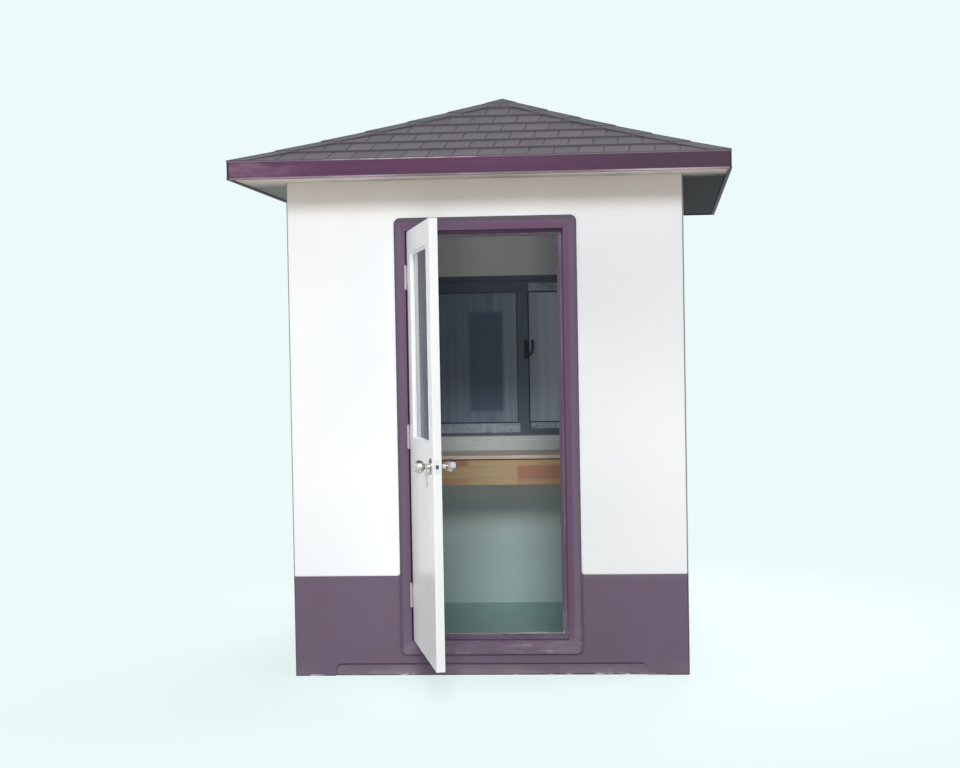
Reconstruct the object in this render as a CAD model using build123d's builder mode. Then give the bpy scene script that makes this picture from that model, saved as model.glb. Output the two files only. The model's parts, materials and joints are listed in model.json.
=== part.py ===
from build123d import *
import os
from math import cos, radians, sin

# Security guard booth: a square moulded cabin with a hipped, shingle-moulded roof,
# one outward-opening glazed door, a sliding window in each other wall and a desk.
# Millimetres. Origin at the middle of the plan on the ground, door wall towards -Y.

# Cabin shell
wall_span = 1752.0
wall_thickness = 45.0
wall_over_door = 208.0
wall_corner_radius = 8.0
floor_thickness = 27.0
ceiling_thickness = 12.0

# Toe recess along the foot of each wall
toe_width = 1390.0
toe_height = 55.0
toe_depth = 10.0
toe_radius = 32.0

# Roof
eave_overhang = 204.0
eave_rise = 58.0
course_count = 7
course_butt = 8.0
eave_drip = 4.0
eave_slope_ratio = 0.359
crown_slope_ratio = 0.419
attic_margin = 30.0
attic_drop = 44.0
hip_cap_count = 6
hip_cap_wing = 66.0
hip_cap_butt = 6.0
hip_cap_tail = 3.0
crown_cap_half = 75.0
crown_cap_lift = 5.0

# Fascia and soffit
fascia_inset = 1.0
fascia_thickness = 14.0
fascia_height = 74.0
fascia_lip_height = 8.0
fascia_lip_out = 1.0
soffit_thickness = 12.0
soffit_rise = 6.0

# Door leaf
leaf_width = 684.5
leaf_height = 1800.0
leaf_thickness = 35.0
leaf_foot = 162.0
leaf_edge_radius = 2.0
door_rest_angle = 72.8
vision_stile = 98.0
vision_height = 800.0
vision_lip = 8.0
vision_lip_thickness = 13.0
door_glass_thickness = 5.0
bead_size = 8.0

# Door surround
hinge_gap = 5.0
lock_gap = 6.5
leaf_end_gap = 5.0
leaf_back_gap = 5.0
face_proud = 12.0
face_hinge_side = 50.0
face_lock_side = 60.0
face_top = 58.0
face_bottom = 65.0
face_corner_radius = 28.0
face_edge_radius = 9.0
jamb_width = 30.0
stop_side = 30.0
stop_top = 27.0
stop_bottom = 27.0

# Butt hinges
hinge_height = 100.0
hinge_inset = 200.0
hinge_plate = 1.8
hinge_plate_depth = 28.0
knuckle_radius = 6.5
knuckle_gap = 0.5
knuckle_count = 3
pin_stand_off = 7.0
pin_radius = 3.0
pin_running_gap = 0.06
pin_head_radius = 4.5
pin_head_height = 4.0

# Knob set
knob_height = 977.0
knob_backset = 60.0
rose_radius = 34.0
rose_thickness = 8.0
neck_radius = 11.0
neck_running_gap = 0.4
neck_length = 24.0
neck_foot_share = 0.3
ball_radius = 27.0
ball_length = 40.0
ball_shares = [(0.18, 0.74), (0.42, 1.0), (0.75, 0.96), (1.0, 0.62)]
spindle_radius = 5.0
spindle_gap = 1.0
keyhole_disc_radius = 9.0
turn_button_width = 18.0
turn_button_height = 7.0
turn_button_thickness = 5.0
face_plate_height = 57.0
face_plate_width = 25.0
plate_thickness = 2.0
bolt_height = 16.0
bolt_width = 12.0
strike_height = 62.0

# Key hung on the outer knob's neck
key_ring_radius = 17.0
key_ring_wire = 1.0
key_bow_radius = 9.0
key_thickness = 2.0
key_blade_length = 44.0
key_blade_width = 6.0

# Sliding windows
window_width = 1200.0
window_height = 890.0
window_foot = 960.0
frame_side = 28.0
frame_head = 28.0
frame_sill = 12.0
frame_depth = 54.0
frame_room_proud = 6.0
frame_flange = 20.0
frame_flange_thickness = 3.0
track_offset = 5.0
track_gap = 5.0
track_rib_height = 16.0
track_rib_thickness = 3.0
guide_rib_height = 8.0
sash_thickness = 20.0
sash_stile = 60.0
sash_rail = 60.0
sash_side_gap = 2.0
sash_head_gap = 2.0
window_glass_thickness = 5.0
glass_groove = 8.0
latch_height = 110.0
latch_width = 22.0
latch_thickness = 9.0
latch_lever_reach = 44.0
latch_lever_width = 13.0
latch_lever_rise = 52.0
latch_rise = 480.0

# Desk
desk_height = 879.0
desk_depth = 400.0
desk_board = 20.0
desk_overhang = 12.0
desk_edge_radius = 4.0
apron_height = 138.0
apron_thickness = 20.0
apron_joint = 1.0
bearer_height = 60.0
bearer_thickness = 35.0

os.makedirs("parts", exist_ok=True)


def save(part, name):
    part.label = name
    export_step(part, f"parts/{name}.step")


# Places worked out from the dimensions
half_wall = wall_span / 2
half_room = half_wall - wall_thickness
half_roof = half_wall + eave_overhang
wall_planes = {
    "front": Plane(origin=(0, -half_wall, 0), x_dir=(1, 0, 0), z_dir=(0, -1, 0)),
    "right": Plane(origin=(half_wall, 0, 0), x_dir=(0, 1, 0), z_dir=(1, 0, 0)),
    "back": Plane(origin=(0, half_wall, 0), x_dir=(-1, 0, 0), z_dir=(0, 1, 0)),
    "left": Plane(origin=(-half_wall, 0, 0), x_dir=(0, -1, 0), z_dir=(-1, 0, 0)),
}
window_walls = ["back", "left", "right"]

rebate_width = leaf_width + hinge_gap + lock_gap
rebate_foot = leaf_foot - leaf_end_gap
rebate_head = leaf_foot + leaf_height + leaf_end_gap
rebate_depth = leaf_thickness + leaf_back_gap
jamb_outer = rebate_width / 2 + jamb_width
jamb_foot = rebate_foot - jamb_width
jamb_head = rebate_head + jamb_width
wall_height = jamb_head + wall_over_door

# The pin stands in front of the leaf's face, in the middle of the hinge-side gap.
pin_x = -rebate_width / 2 + hinge_gap / 2
pin_y = -half_wall - face_proud - pin_stand_off
leaf_start = hinge_gap / 2
leaf_end = leaf_start + leaf_width
swing = radians(door_rest_angle)
leaf_along = Vector(cos(swing), -sin(swing), 0)
leaf_out = Vector(-sin(swing), -cos(swing), 0)
pin_foot = Vector(pin_x, pin_y, 0)
# Local X runs from the pin to the lock edge, local Y is up, local Z points outdoors.
leaf_plane = Plane(origin=pin_foot, x_dir=leaf_along, z_dir=leaf_out)
outer_face = -pin_stand_off
inner_face = outer_face - leaf_thickness
hinge_centres = [
    leaf_foot + hinge_inset,
    leaf_foot + leaf_height / 2,
    leaf_foot + leaf_height - hinge_inset,
]

knob_along = leaf_end - knob_backset
knob_foot = pin_foot + leaf_along * knob_along + Vector(0, 0, knob_height)
outer_knob_seat = knob_foot + leaf_out * outer_face
inner_knob_seat = knob_foot + leaf_out * inner_face
knob_length = neck_length + ball_length


# ---------------------------------------------------------------- floor and walls

with BuildPart() as floor_panel:
    with BuildSketch(Plane.XY):
        Rectangle(2 * half_room, 2 * half_room)
    extrude(amount=floor_thickness)
save(floor_panel.part, "floor_panel")


def front_panel(left, right, foot, head):
    """A piece of the door wall, with its share of the toe recess."""
    with BuildPart() as panel:
        with BuildSketch(wall_planes["front"]):
            with Locations(((left + right) / 2, (foot + head) / 2)):
                Rectangle(right - left, head - foot)
        extrude(amount=-wall_thickness)
        with BuildSketch(wall_planes["front"]):
            RectangleRounded(toe_width, 2 * toe_height, toe_radius)
        extrude(amount=-toe_depth, mode=Mode.SUBTRACT)
    return panel


left_panel = front_panel(-half_wall, -jamb_outer, 0, wall_height)
with BuildPart() as wall_front_left:
    add(left_panel.part)
    outer_edges = wall_front_left.edges().filter_by(Axis.Z).group_by(Axis.Y)[0]
    fillet(outer_edges.sort_by(Axis.X)[0], wall_corner_radius)
save(wall_front_left.part, "wall_front_left")

right_panel = front_panel(jamb_outer, half_wall, 0, wall_height)
with BuildPart() as wall_front_right:
    add(right_panel.part)
    outer_edges = wall_front_right.edges().filter_by(Axis.Z).group_by(Axis.Y)[0]
    fillet(outer_edges.sort_by(Axis.X)[-1], wall_corner_radius)
save(wall_front_right.part, "wall_front_right")

wall_front_sill = front_panel(-jamb_outer, jamb_outer, 0, jamb_foot)
save(wall_front_sill.part, "wall_front_sill")

with BuildPart() as wall_front_head:
    with BuildSketch(wall_planes["front"]):
        with Locations((0, (jamb_head + wall_height) / 2)):
            Rectangle(2 * jamb_outer, wall_height - jamb_head)
    extrude(amount=-wall_thickness)
save(wall_front_head.part, "wall_front_head")

for side in window_walls:
    side_width = wall_span if side == "back" else 2 * half_room
    with BuildPart() as window_wall:
        with BuildSketch(wall_planes[side]):
            with Locations((0, wall_height / 2)):
                Rectangle(side_width, wall_height)
            with Locations((0, window_foot + window_height / 2)):
                Rectangle(window_width, window_height, mode=Mode.SUBTRACT)
        extrude(amount=-wall_thickness)
        with BuildSketch(wall_planes[side]):
            RectangleRounded(toe_width, 2 * toe_height, toe_radius)
        extrude(amount=-toe_depth, mode=Mode.SUBTRACT)
        if side == "back":
            back_edges = window_wall.edges().filter_by(Axis.Z).group_by(Axis.Y)[-1]
            corner_edges = [back_edges.sort_by(Axis.X)[0], back_edges.sort_by(Axis.X)[-1]]
            fillet(corner_edges, wall_corner_radius)
    save(window_wall.part, f"wall_{side}")

with BuildPart() as ceiling_panel:
    with BuildSketch(Plane.XY.offset(wall_height)):
        Rectangle(wall_span, wall_span)
    extrude(amount=ceiling_thickness)
save(ceiling_panel.part, "ceiling_panel")


# ---------------------------------------------------------------- roof

eave_height = wall_height + eave_rise
fascia_outer = half_roof - fascia_inset
fascia_inner = fascia_outer - fascia_thickness
fascia_top = eave_height - eave_drip
fascia_foot = fascia_top - fascia_height
soffit_foot = fascia_foot + soffit_rise

# The roof steepens a little from eave to crown, one course at a time. A course's lower
# edge stands course_butt above the tail of the course below it.
course_run = half_roof / course_count
slope_step = (crown_slope_ratio - eave_slope_ratio) / max(course_count - 1, 1)
course_slopes = [eave_slope_ratio + slope_step * i for i in range(course_count)]
course_feet = [eave_height]
for slope in course_slopes:
    course_feet.append(course_feet[-1] + slope * course_run)
crown_height = course_feet[-1]


def roof_height(inset):
    """Height of the line through the courses' lower edges, inset from the eave."""
    course = min(int(inset / course_run), course_count - 1)
    return course_feet[course] + course_slopes[course] * (inset - course * course_run)


def hipped(left_line):
    """The square hipped solid whose front and side outline is this line and its mirror image."""
    outline = left_line + [(-x, z) for x, z in reversed(left_line) if x < 0]
    half = -left_line[0][0]
    with BuildPart() as body:
        with BuildSketch(Plane.XZ.offset(-half)):
            with BuildLine():
                Polyline(outline, close=True)
            make_face()
        extrude(amount=2 * half)
        with BuildSketch(Plane.YZ.offset(-half)):
            with BuildLine():
                Polyline(outline, close=True)
            make_face()
        extrude(amount=2 * half, mode=Mode.INTERSECT)
    return body


course_line = [(-half_roof, fascia_top)]
for i in range(course_count):
    foot_x = -half_roof + i * course_run
    if i > 0:
        course_line.append((foot_x, course_feet[i] - course_butt))
    course_line.append((foot_x, course_feet[i]))
course_line.append((0, crown_height))
roof_solid = hipped(course_line)

attic = hipped([(attic_margin - fascia_inner, fascia_top), (0, crown_height - attic_drop)])
with BuildPart() as roof_shell:
    add(roof_solid.part)
    add(attic.part, mode=Mode.SUBTRACT)
save(roof_shell.part, "roof_shell")

with BuildPart() as fascia:
    with BuildSketch(Plane.XY.offset(fascia_foot)):
        Rectangle(2 * fascia_outer, 2 * fascia_outer)
        Rectangle(2 * fascia_inner, 2 * fascia_inner, mode=Mode.SUBTRACT)
    extrude(amount=fascia_height)
    with BuildSketch(Plane.XY.offset(fascia_foot)):
        Rectangle(2 * (fascia_outer + fascia_lip_out), 2 * (fascia_outer + fascia_lip_out))
        Rectangle(2 * fascia_inner, 2 * fascia_inner, mode=Mode.SUBTRACT)
    extrude(amount=fascia_lip_height)
save(fascia.part, "fascia")

with BuildPart() as soffit_panel:
    with BuildSketch(Plane.XY.offset(soffit_foot)):
        Rectangle(2 * fascia_inner, 2 * fascia_inner)
        Rectangle(wall_span, wall_span, mode=Mode.SUBTRACT)
    extrude(amount=soffit_thickness)
save(soffit_panel.part, "soffit_panel")

# Hip caps: short lapped tiles that straddle each hip, thick at the foot and thin at the tail.
cap_run = (half_roof - crown_cap_half) / hip_cap_count
cap_line = [(-half_roof, fascia_top)]
for i in range(hip_cap_count):
    cap_line.append((-half_roof + i * cap_run, roof_height(i * cap_run) + hip_cap_butt))
    cap_line.append((-half_roof + (i + 1) * cap_run, roof_height((i + 1) * cap_run) + hip_cap_tail))
cap_line.append((0, crown_height))
lapped_caps = hipped(cap_line)

with BuildPart() as hip_caps:
    add(lapped_caps.part)
    with BuildSketch(Plane.XY.offset(fascia_top)):
        for turn in (45, 135):
            Rectangle(2 * half_roof * 2**0.5, 2 * hip_cap_wing, rotation=turn)
    extrude(amount=crown_height, mode=Mode.INTERSECT)
    with BuildSketch(Plane.XY.offset(fascia_top)):
        Rectangle(2 * crown_cap_half, 2 * crown_cap_half)
    extrude(amount=crown_height, mode=Mode.SUBTRACT)
    add(roof_solid.part, mode=Mode.SUBTRACT)
save(hip_caps.part, "hip_caps")

crown_cap_foot = roof_height(half_roof - crown_cap_half)
crown_body = hipped([
    (-crown_cap_half, crown_cap_foot - course_butt),
    (-crown_cap_half, crown_cap_foot + crown_cap_lift),
    (0, crown_height + crown_cap_lift),
])
with BuildPart() as crown_cap:
    add(crown_body.part)
    add(roof_solid.part, mode=Mode.SUBTRACT)
save(crown_cap.part, "crown_cap")


# ---------------------------------------------------------------- door surround

face_width = rebate_width + face_hinge_side + face_lock_side
face_middle = (face_lock_side - face_hinge_side) / 2
face_foot = rebate_foot - face_bottom
face_head = rebate_head + face_top
front = wall_planes["front"]
with BuildPart() as door_surround:
    with BuildSketch(front):
        with Locations((face_middle, (face_foot + face_head) / 2)):
            RectangleRounded(face_width, face_head - face_foot, face_corner_radius)
    extrude(amount=face_proud)
    fillet(door_surround.faces().sort_by(Axis.Y)[0].outer_wire().edges(), face_edge_radius)
    with BuildSketch(front):
        with Locations((0, (jamb_foot + jamb_head) / 2)):
            Rectangle(2 * jamb_outer, jamb_head - jamb_foot)
    extrude(amount=-wall_thickness)
    with BuildSketch(front.offset(face_proud)):
        with Locations((0, (rebate_foot + rebate_head) / 2)):
            Rectangle(rebate_width, rebate_head - rebate_foot)
    extrude(amount=-rebate_depth, mode=Mode.SUBTRACT)
    with BuildSketch(front.offset(face_proud)):
        with Locations((0, (rebate_foot + stop_bottom + rebate_head - stop_top) / 2)):
            Rectangle(rebate_width - 2 * stop_side, rebate_head - rebate_foot - stop_bottom - stop_top)
    extrude(amount=-(face_proud + wall_thickness), mode=Mode.SUBTRACT)
    # seat for the strike plate in the lock-side cheek
    with BuildSketch(front.offset(face_proud - leaf_thickness / 2 - face_plate_width / 2)):
        with Locations((rebate_width / 2 + plate_thickness / 2, knob_height)):
            Rectangle(plate_thickness, strike_height)
    extrude(amount=face_plate_width, mode=Mode.SUBTRACT)
save(door_surround.part, "door_surround")

with BuildPart() as strike_plate:
    with BuildSketch(front.offset(face_proud - leaf_thickness / 2 - face_plate_width / 2)):
        with Locations((rebate_width / 2 + plate_thickness / 2, knob_height)):
            Rectangle(plate_thickness, strike_height)
    extrude(amount=face_plate_width)
    with BuildSketch(front.offset(face_proud - leaf_thickness / 2 - bolt_width / 2)):
        with Locations((rebate_width / 2 + plate_thickness / 2, knob_height)):
            Rectangle(plate_thickness, bolt_height)
    extrude(amount=bolt_width, mode=Mode.SUBTRACT)
save(strike_plate.part, "strike_plate")


# ---------------------------------------------------------------- hinges

knuckle_pitch = hinge_height / knuckle_count
frame_knuckles = range(0, knuckle_count, 2)
leaf_knuckles = range(1, knuckle_count, 2)

with BuildPart() as hinge_frame_plates:
    for centre in hinge_centres:
        foot = centre - hinge_height / 2
        cheek_x = -rebate_width / 2 + hinge_plate / 2
        with BuildSketch(Plane.XY.offset(foot)):
            with Locations((cheek_x, pin_y + pin_stand_off + hinge_plate_depth / 2)):
                Rectangle(hinge_plate, hinge_plate_depth)
        extrude(amount=hinge_height)
        for i in frame_knuckles:
            with BuildSketch(Plane.XY.offset(foot + i * knuckle_pitch)):
                with Locations((pin_x, pin_y)):
                    Circle(knuckle_radius)
                with Locations((cheek_x, pin_y + pin_stand_off / 2)):
                    Rectangle(hinge_plate, pin_stand_off)
            extrude(amount=knuckle_pitch)
        with BuildSketch(Plane.XY.offset(foot - pin_head_height)):
            with Locations((pin_x, pin_y)):
                Circle(pin_radius)
        extrude(amount=hinge_height + 2 * pin_head_height)
        for head_foot in (foot - pin_head_height, foot + hinge_height):
            with BuildSketch(Plane.XY.offset(head_foot)):
                with Locations((pin_x, pin_y)):
                    Circle(pin_head_radius)
            extrude(amount=pin_head_height)
save(hinge_frame_plates.part, "hinge_frame_plates")

with BuildPart() as hinge_leaf_plates:
    for centre in hinge_centres:
        foot = centre - hinge_height / 2
        with BuildSketch(leaf_plane.offset(outer_face)):
            with Locations((leaf_start - hinge_plate / 2, centre)):
                Rectangle(hinge_plate, hinge_height)
        extrude(amount=-hinge_plate_depth)
        for i in leaf_knuckles:
            knuckle_foot = foot + i * knuckle_pitch + knuckle_gap
            knuckle_length = knuckle_pitch - 2 * knuckle_gap
            with BuildSketch(Plane.XY.offset(knuckle_foot)):
                with Locations((pin_x, pin_y)):
                    Circle(knuckle_radius)
            extrude(amount=knuckle_length)
            with BuildSketch(leaf_plane):
                with Locations((leaf_start - hinge_plate / 2, knuckle_foot + knuckle_length / 2)):
                    Rectangle(hinge_plate, knuckle_length)
            extrude(amount=outer_face)
            with BuildSketch(Plane.XY.offset(knuckle_foot)):
                with Locations((pin_x, pin_y)):
                    Circle(pin_radius + pin_running_gap)
            extrude(amount=knuckle_length, mode=Mode.SUBTRACT)
save(hinge_leaf_plates.part, "hinge_leaf_plates")


# ---------------------------------------------------------------- door leaf

leaf_middle = (leaf_start + leaf_end) / 2
vision_width = leaf_width - 2 * vision_stile
vision_head = leaf_foot + leaf_height - vision_stile
vision_middle = vision_head - vision_height / 2
lock_middle = (outer_face + inner_face) / 2
glass_depth = leaf_thickness - vision_lip_thickness - door_glass_thickness

with BuildPart() as door_leaf:
    with BuildSketch(leaf_plane.offset(outer_face)):
        with Locations((leaf_middle, leaf_foot + leaf_height / 2)):
            Rectangle(leaf_width, leaf_height)
    extrude(amount=-leaf_thickness)
    fillet(door_leaf.edges().filter_by(Axis.Z), leaf_edge_radius)
    with BuildSketch(leaf_plane.offset(outer_face)):
        with Locations((leaf_middle, vision_middle)):
            Rectangle(vision_width, vision_height)
    extrude(amount=-(glass_depth + door_glass_thickness), mode=Mode.SUBTRACT)
    with BuildSketch(leaf_plane.offset(outer_face)):
        with Locations((leaf_middle, vision_middle)):
            Rectangle(vision_width - 2 * vision_lip, vision_height - 2 * vision_lip)
    extrude(amount=-leaf_thickness, mode=Mode.SUBTRACT)
    # spindle hole through the leaf and the seat of the latch's face plate in its edge
    with BuildSketch(leaf_plane.offset(outer_face)):
        with Locations((knob_along, knob_height)):
            Circle(spindle_radius + spindle_gap)
    extrude(amount=-leaf_thickness, mode=Mode.SUBTRACT)
    with BuildSketch(leaf_plane.offset(lock_middle + face_plate_width / 2)):
        with Locations((leaf_end - plate_thickness / 2, knob_height)):
            Rectangle(plate_thickness, face_plate_height)
    extrude(amount=-face_plate_width, mode=Mode.SUBTRACT)
save(door_leaf.part, "door_leaf")

with BuildPart() as door_glass:
    with BuildSketch(leaf_plane.offset(outer_face - glass_depth)):
        with Locations((leaf_middle, vision_middle)):
            Rectangle(vision_width, vision_height)
    extrude(amount=-door_glass_thickness)
save(door_glass.part, "door_glass")

with BuildPart() as door_glazing_bead:
    with BuildSketch(leaf_plane.offset(outer_face - glass_depth)):
        with Locations((leaf_middle, vision_middle)):
            Rectangle(vision_width, vision_height)
            Rectangle(vision_width - 2 * bead_size, vision_height - 2 * bead_size, mode=Mode.SUBTRACT)
    extrude(amount=bead_size)
    bead_front = door_glazing_bead.faces().filter_by(leaf_plane).sort_by(Axis(pin_foot, leaf_out))[-1]
    chamfer(bead_front.inner_wires()[0].edges(), bead_size / 2)
save(door_glazing_bead.part, "door_glazing_bead")

with BuildPart() as latch_face_plate:
    with BuildSketch(leaf_plane.offset(lock_middle + face_plate_width / 2)):
        with Locations((leaf_end - plate_thickness / 2, knob_height)):
            Rectangle(plate_thickness, face_plate_height)
    extrude(amount=-face_plate_width)
    with BuildSketch(leaf_plane.offset(lock_middle + bolt_width / 2)):
        with Locations((leaf_end - plate_thickness / 2, knob_height)):
            Rectangle(plate_thickness, bolt_height)
    extrude(amount=-bolt_width, mode=Mode.SUBTRACT)
save(latch_face_plate.part, "latch_face_plate")

with BuildPart() as latch_bolt:
    with BuildSketch(leaf_plane.offset(lock_middle + bolt_width / 2)):
        with Locations((leaf_end - plate_thickness / 2, knob_height)):
            Rectangle(plate_thickness, bolt_height)
    extrude(amount=-bolt_width)
save(latch_bolt.part, "latch_bolt")


# ---------------------------------------------------------------- knobs and key

def knob_plane(seat, outward):
    """Local X runs along the knob's axis away from the leaf, local Y is up."""
    return Plane(origin=seat, x_dir=outward, z_dir=outward.cross(Vector(0, 0, 1)))


def rose(seat, outward):
    """A dished rose with a hole for the neck."""
    hole = neck_radius + neck_running_gap
    with BuildPart() as body:
        with BuildSketch(knob_plane(seat, outward)):
            with BuildLine():
                Polyline(
                    (0, hole),
                    (0, rose_radius),
                    (rose_thickness * 0.35, rose_radius),
                    (rose_thickness, rose_radius * 0.72),
                    (rose_thickness, hole),
                    close=True,
                )
            make_face()
        revolve(axis=Axis(seat, outward))
    return body


outer_rose = rose(outer_knob_seat, leaf_out)
inner_rose = rose(inner_knob_seat, leaf_out * -1)
with BuildPart() as knob_roses:
    add(outer_rose.part)
    add(inner_rose.part)
save(knob_roses.part, "knob_roses")


def knob_body(seat, outward):
    """A round knob: a slim neck that flares into a ball with a flat front."""
    neck_foot = rose_thickness * neck_foot_share
    ball_line = [(neck_length + ball_length * along, ball_radius * out) for along, out in ball_shares]
    with BuildPart() as body:
        with BuildSketch(knob_plane(seat, outward)):
            with BuildLine():
                Polyline(
                    (knob_length, 0),
                    (neck_foot, 0),
                    (neck_foot, neck_radius),
                    (neck_length, neck_radius),
                    *ball_line,
                    close=True,
                )
            make_face()
        revolve(axis=Axis(seat, outward))
    return body


outer_knob_tip = outer_knob_seat + leaf_out * knob_length
inner_knob_tip = inner_knob_seat - leaf_out * knob_length
outer_knob_front = Plane(origin=outer_knob_tip, x_dir=leaf_along, z_dir=leaf_out)
inner_knob_front = Plane(origin=inner_knob_tip, x_dir=leaf_along, z_dir=leaf_out * -1)

plain_outer_knob = knob_body(outer_knob_seat, leaf_out)
with BuildPart() as knob_outer:
    add(plain_outer_knob.part)
    # seat of the key cylinder in the flat front, and the spindle through the leaf
    with BuildSketch(outer_knob_front):
        Circle(keyhole_disc_radius)
    extrude(amount=-plate_thickness, mode=Mode.SUBTRACT)
    with BuildSketch(Plane(origin=outer_knob_seat + leaf_out * rose_thickness, z_dir=leaf_out)):
        Circle(spindle_radius)
    extrude(amount=-(rose_thickness + leaf_thickness + rose_thickness * neck_foot_share))
save(knob_outer.part, "knob_outer")

plain_inner_knob = knob_body(inner_knob_seat, leaf_out * -1)
save(plain_inner_knob.part, "knob_inner")

with BuildPart() as key_cylinder:
    with BuildSketch(outer_knob_front):
        Circle(keyhole_disc_radius)
    extrude(amount=-plate_thickness)
    with BuildSketch(outer_knob_front):
        Rectangle(plate_thickness * 0.6, keyhole_disc_radius)
    extrude(amount=-plate_thickness * 0.6, mode=Mode.SUBTRACT)
save(key_cylinder.part, "key_cylinder")

with BuildPart() as turn_button:
    with BuildSketch(inner_knob_front):
        Circle(keyhole_disc_radius)
    extrude(amount=plate_thickness / 2)
    with BuildSketch(inner_knob_front):
        RectangleRounded(turn_button_thickness, turn_button_width, turn_button_thickness * 0.4)
    extrude(amount=turn_button_height)
save(turn_button.part, "turn_button")

# The ring rests on the neck, so its centre hangs below the knob's axis.
ring_drop = key_ring_radius - key_ring_wire - neck_radius - neck_running_gap
ring_out = (rose_thickness + neck_length) / 2 + key_ring_wire
ring_centre = outer_knob_seat + leaf_out * ring_out - Vector(0, 0, ring_drop)
key_hole = ring_centre - Vector(0, 0, key_ring_radius)
with BuildPart() as hanging_key:
    with BuildSketch(knob_plane(ring_centre + Vector(0, 0, key_ring_radius), leaf_out)):
        Rectangle(2 * key_ring_wire, 2 * key_ring_wire)
    revolve(axis=Axis(ring_centre, leaf_out))
    with BuildSketch(knob_plane(key_hole, leaf_out)):
        with Locations((0, -key_bow_radius)):
            Circle(key_bow_radius + key_ring_wire)
        with Locations((0, -2 * key_bow_radius - key_blade_length / 2)):
            Rectangle(key_blade_width, key_blade_length)
    extrude(amount=key_thickness / 2, both=True)
save(hanging_key.part, "hanging_key")


# ---------------------------------------------------------------- sliding windows

window_middle = window_foot + window_height / 2
room_side = -wall_thickness - frame_room_proud
light_width = window_width - 2 * frame_side
light_height = window_height - frame_sill - frame_head
sash_foot = window_foot + frame_sill
light_head = sash_foot + light_height
light_middle = (sash_foot + light_head) / 2
sash_head = light_head - sash_head_gap
sash_width = (light_width + sash_stile) / 2 - sash_side_gap
sash_middle = (sash_foot + sash_head) / 2
sash_height = sash_head - sash_foot
inner_track = room_side + track_offset
outer_track = inner_track + sash_thickness + track_gap


def window_frame(plane):
    """Aluminium frame with an outside flange and a guide rib round it between the two tracks."""
    with BuildPart() as body:
        with BuildSketch(plane.offset(room_side)):
            with Locations((0, window_middle)):
                Rectangle(window_width, window_height)
            with Locations((0, light_middle)):
                Rectangle(light_width, light_height, mode=Mode.SUBTRACT)
        extrude(amount=frame_depth)
        with BuildSketch(plane):
            with Locations((0, window_middle)):
                Rectangle(window_width + 2 * frame_flange, window_height + 2 * frame_flange)
                Rectangle(window_width, window_height, mode=Mode.SUBTRACT)
        extrude(amount=frame_flange_thickness)
        with BuildSketch(plane.offset(inner_track + sash_thickness + (track_gap - track_rib_thickness) / 2)):
            with Locations((0, light_middle)):
                Rectangle(light_width, light_height)
            with Locations((0, (sash_foot + track_rib_height + light_head - guide_rib_height) / 2)):
                Rectangle(
                    light_width - 2 * guide_rib_height,
                    light_height - track_rib_height - guide_rib_height,
                    mode=Mode.SUBTRACT,
                )
        extrude(amount=track_rib_thickness)
    return body


def sash(plane, track, middle):
    """A sash of stiles and rails, grooved for its pane."""
    with BuildPart() as body:
        with BuildSketch(plane.offset(track)):
            with Locations((middle, sash_middle)):
                Rectangle(sash_width, sash_height)
                Rectangle(sash_width - 2 * sash_stile, sash_height - 2 * sash_rail, mode=Mode.SUBTRACT)
        extrude(amount=sash_thickness)
        with BuildSketch(plane.offset(track + (sash_thickness - window_glass_thickness) / 2)):
            with Locations((middle, sash_middle)):
                Rectangle(
                    sash_width - 2 * (sash_stile - glass_groove),
                    sash_height - 2 * (sash_rail - glass_groove),
                )
        extrude(amount=window_glass_thickness, mode=Mode.SUBTRACT)
    return body


sash_shift = light_width / 2 - sash_side_gap - sash_width / 2
sash_places = [(inner_track, sash_shift), (outer_track, -sash_shift)]
latch_middle = window_foot + latch_rise
latch_pivot = sash_shift - sash_width / 2 + latch_width / 2

for side in window_walls:
    plane = wall_planes[side]
    frame_body = window_frame(plane)
    save(frame_body.part, f"window_frame_{side}")
    inner_sash = sash(plane, inner_track, sash_shift)
    save(inner_sash.part, f"sash_inner_{side}")
    outer_sash = sash(plane, outer_track, -sash_shift)
    save(outer_sash.part, f"sash_outer_{side}")
    with BuildPart() as window_glass:
        for track, middle in sash_places:
            with BuildSketch(plane.offset(track + (sash_thickness - window_glass_thickness) / 2)):
                with Locations((middle, sash_middle)):
                    Rectangle(
                        sash_width - 2 * (sash_stile - glass_groove),
                        sash_height - 2 * (sash_rail - glass_groove),
                    )
            extrude(amount=window_glass_thickness)
    save(window_glass.part, f"window_glass_{side}")
    # crescent latch on the meeting stile: a slim body and a lever that curls up past the stile
    with BuildPart() as window_latch:
        with BuildSketch(plane.offset(inner_track)):
            with Locations((latch_pivot, latch_middle)):
                RectangleRounded(latch_width, latch_height, latch_width * 0.3)
        extrude(amount=-latch_thickness)
        with BuildSketch(plane.offset(inner_track - latch_thickness)):
            with Locations((latch_pivot, latch_middle)):
                Circle(latch_lever_reach)
                Circle(latch_lever_reach - latch_lever_width, mode=Mode.SUBTRACT)
            with Locations((latch_pivot, latch_middle + latch_lever_reach / 2)):
                Rectangle(2 * latch_lever_reach, latch_lever_reach, mode=Mode.SUBTRACT)
            with Locations((latch_pivot + latch_lever_reach / 2, latch_middle)):
                Rectangle(latch_lever_reach, 2 * latch_lever_reach, mode=Mode.SUBTRACT)
            lever_x = latch_pivot - latch_lever_reach + latch_lever_width / 2
            with Locations((lever_x, latch_middle + latch_lever_rise / 2)):
                Rectangle(latch_lever_width, latch_lever_rise)
        extrude(amount=-latch_thickness / 2)
    save(window_latch.part, f"window_latch_{side}")


# ---------------------------------------------------------------- desk

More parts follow.
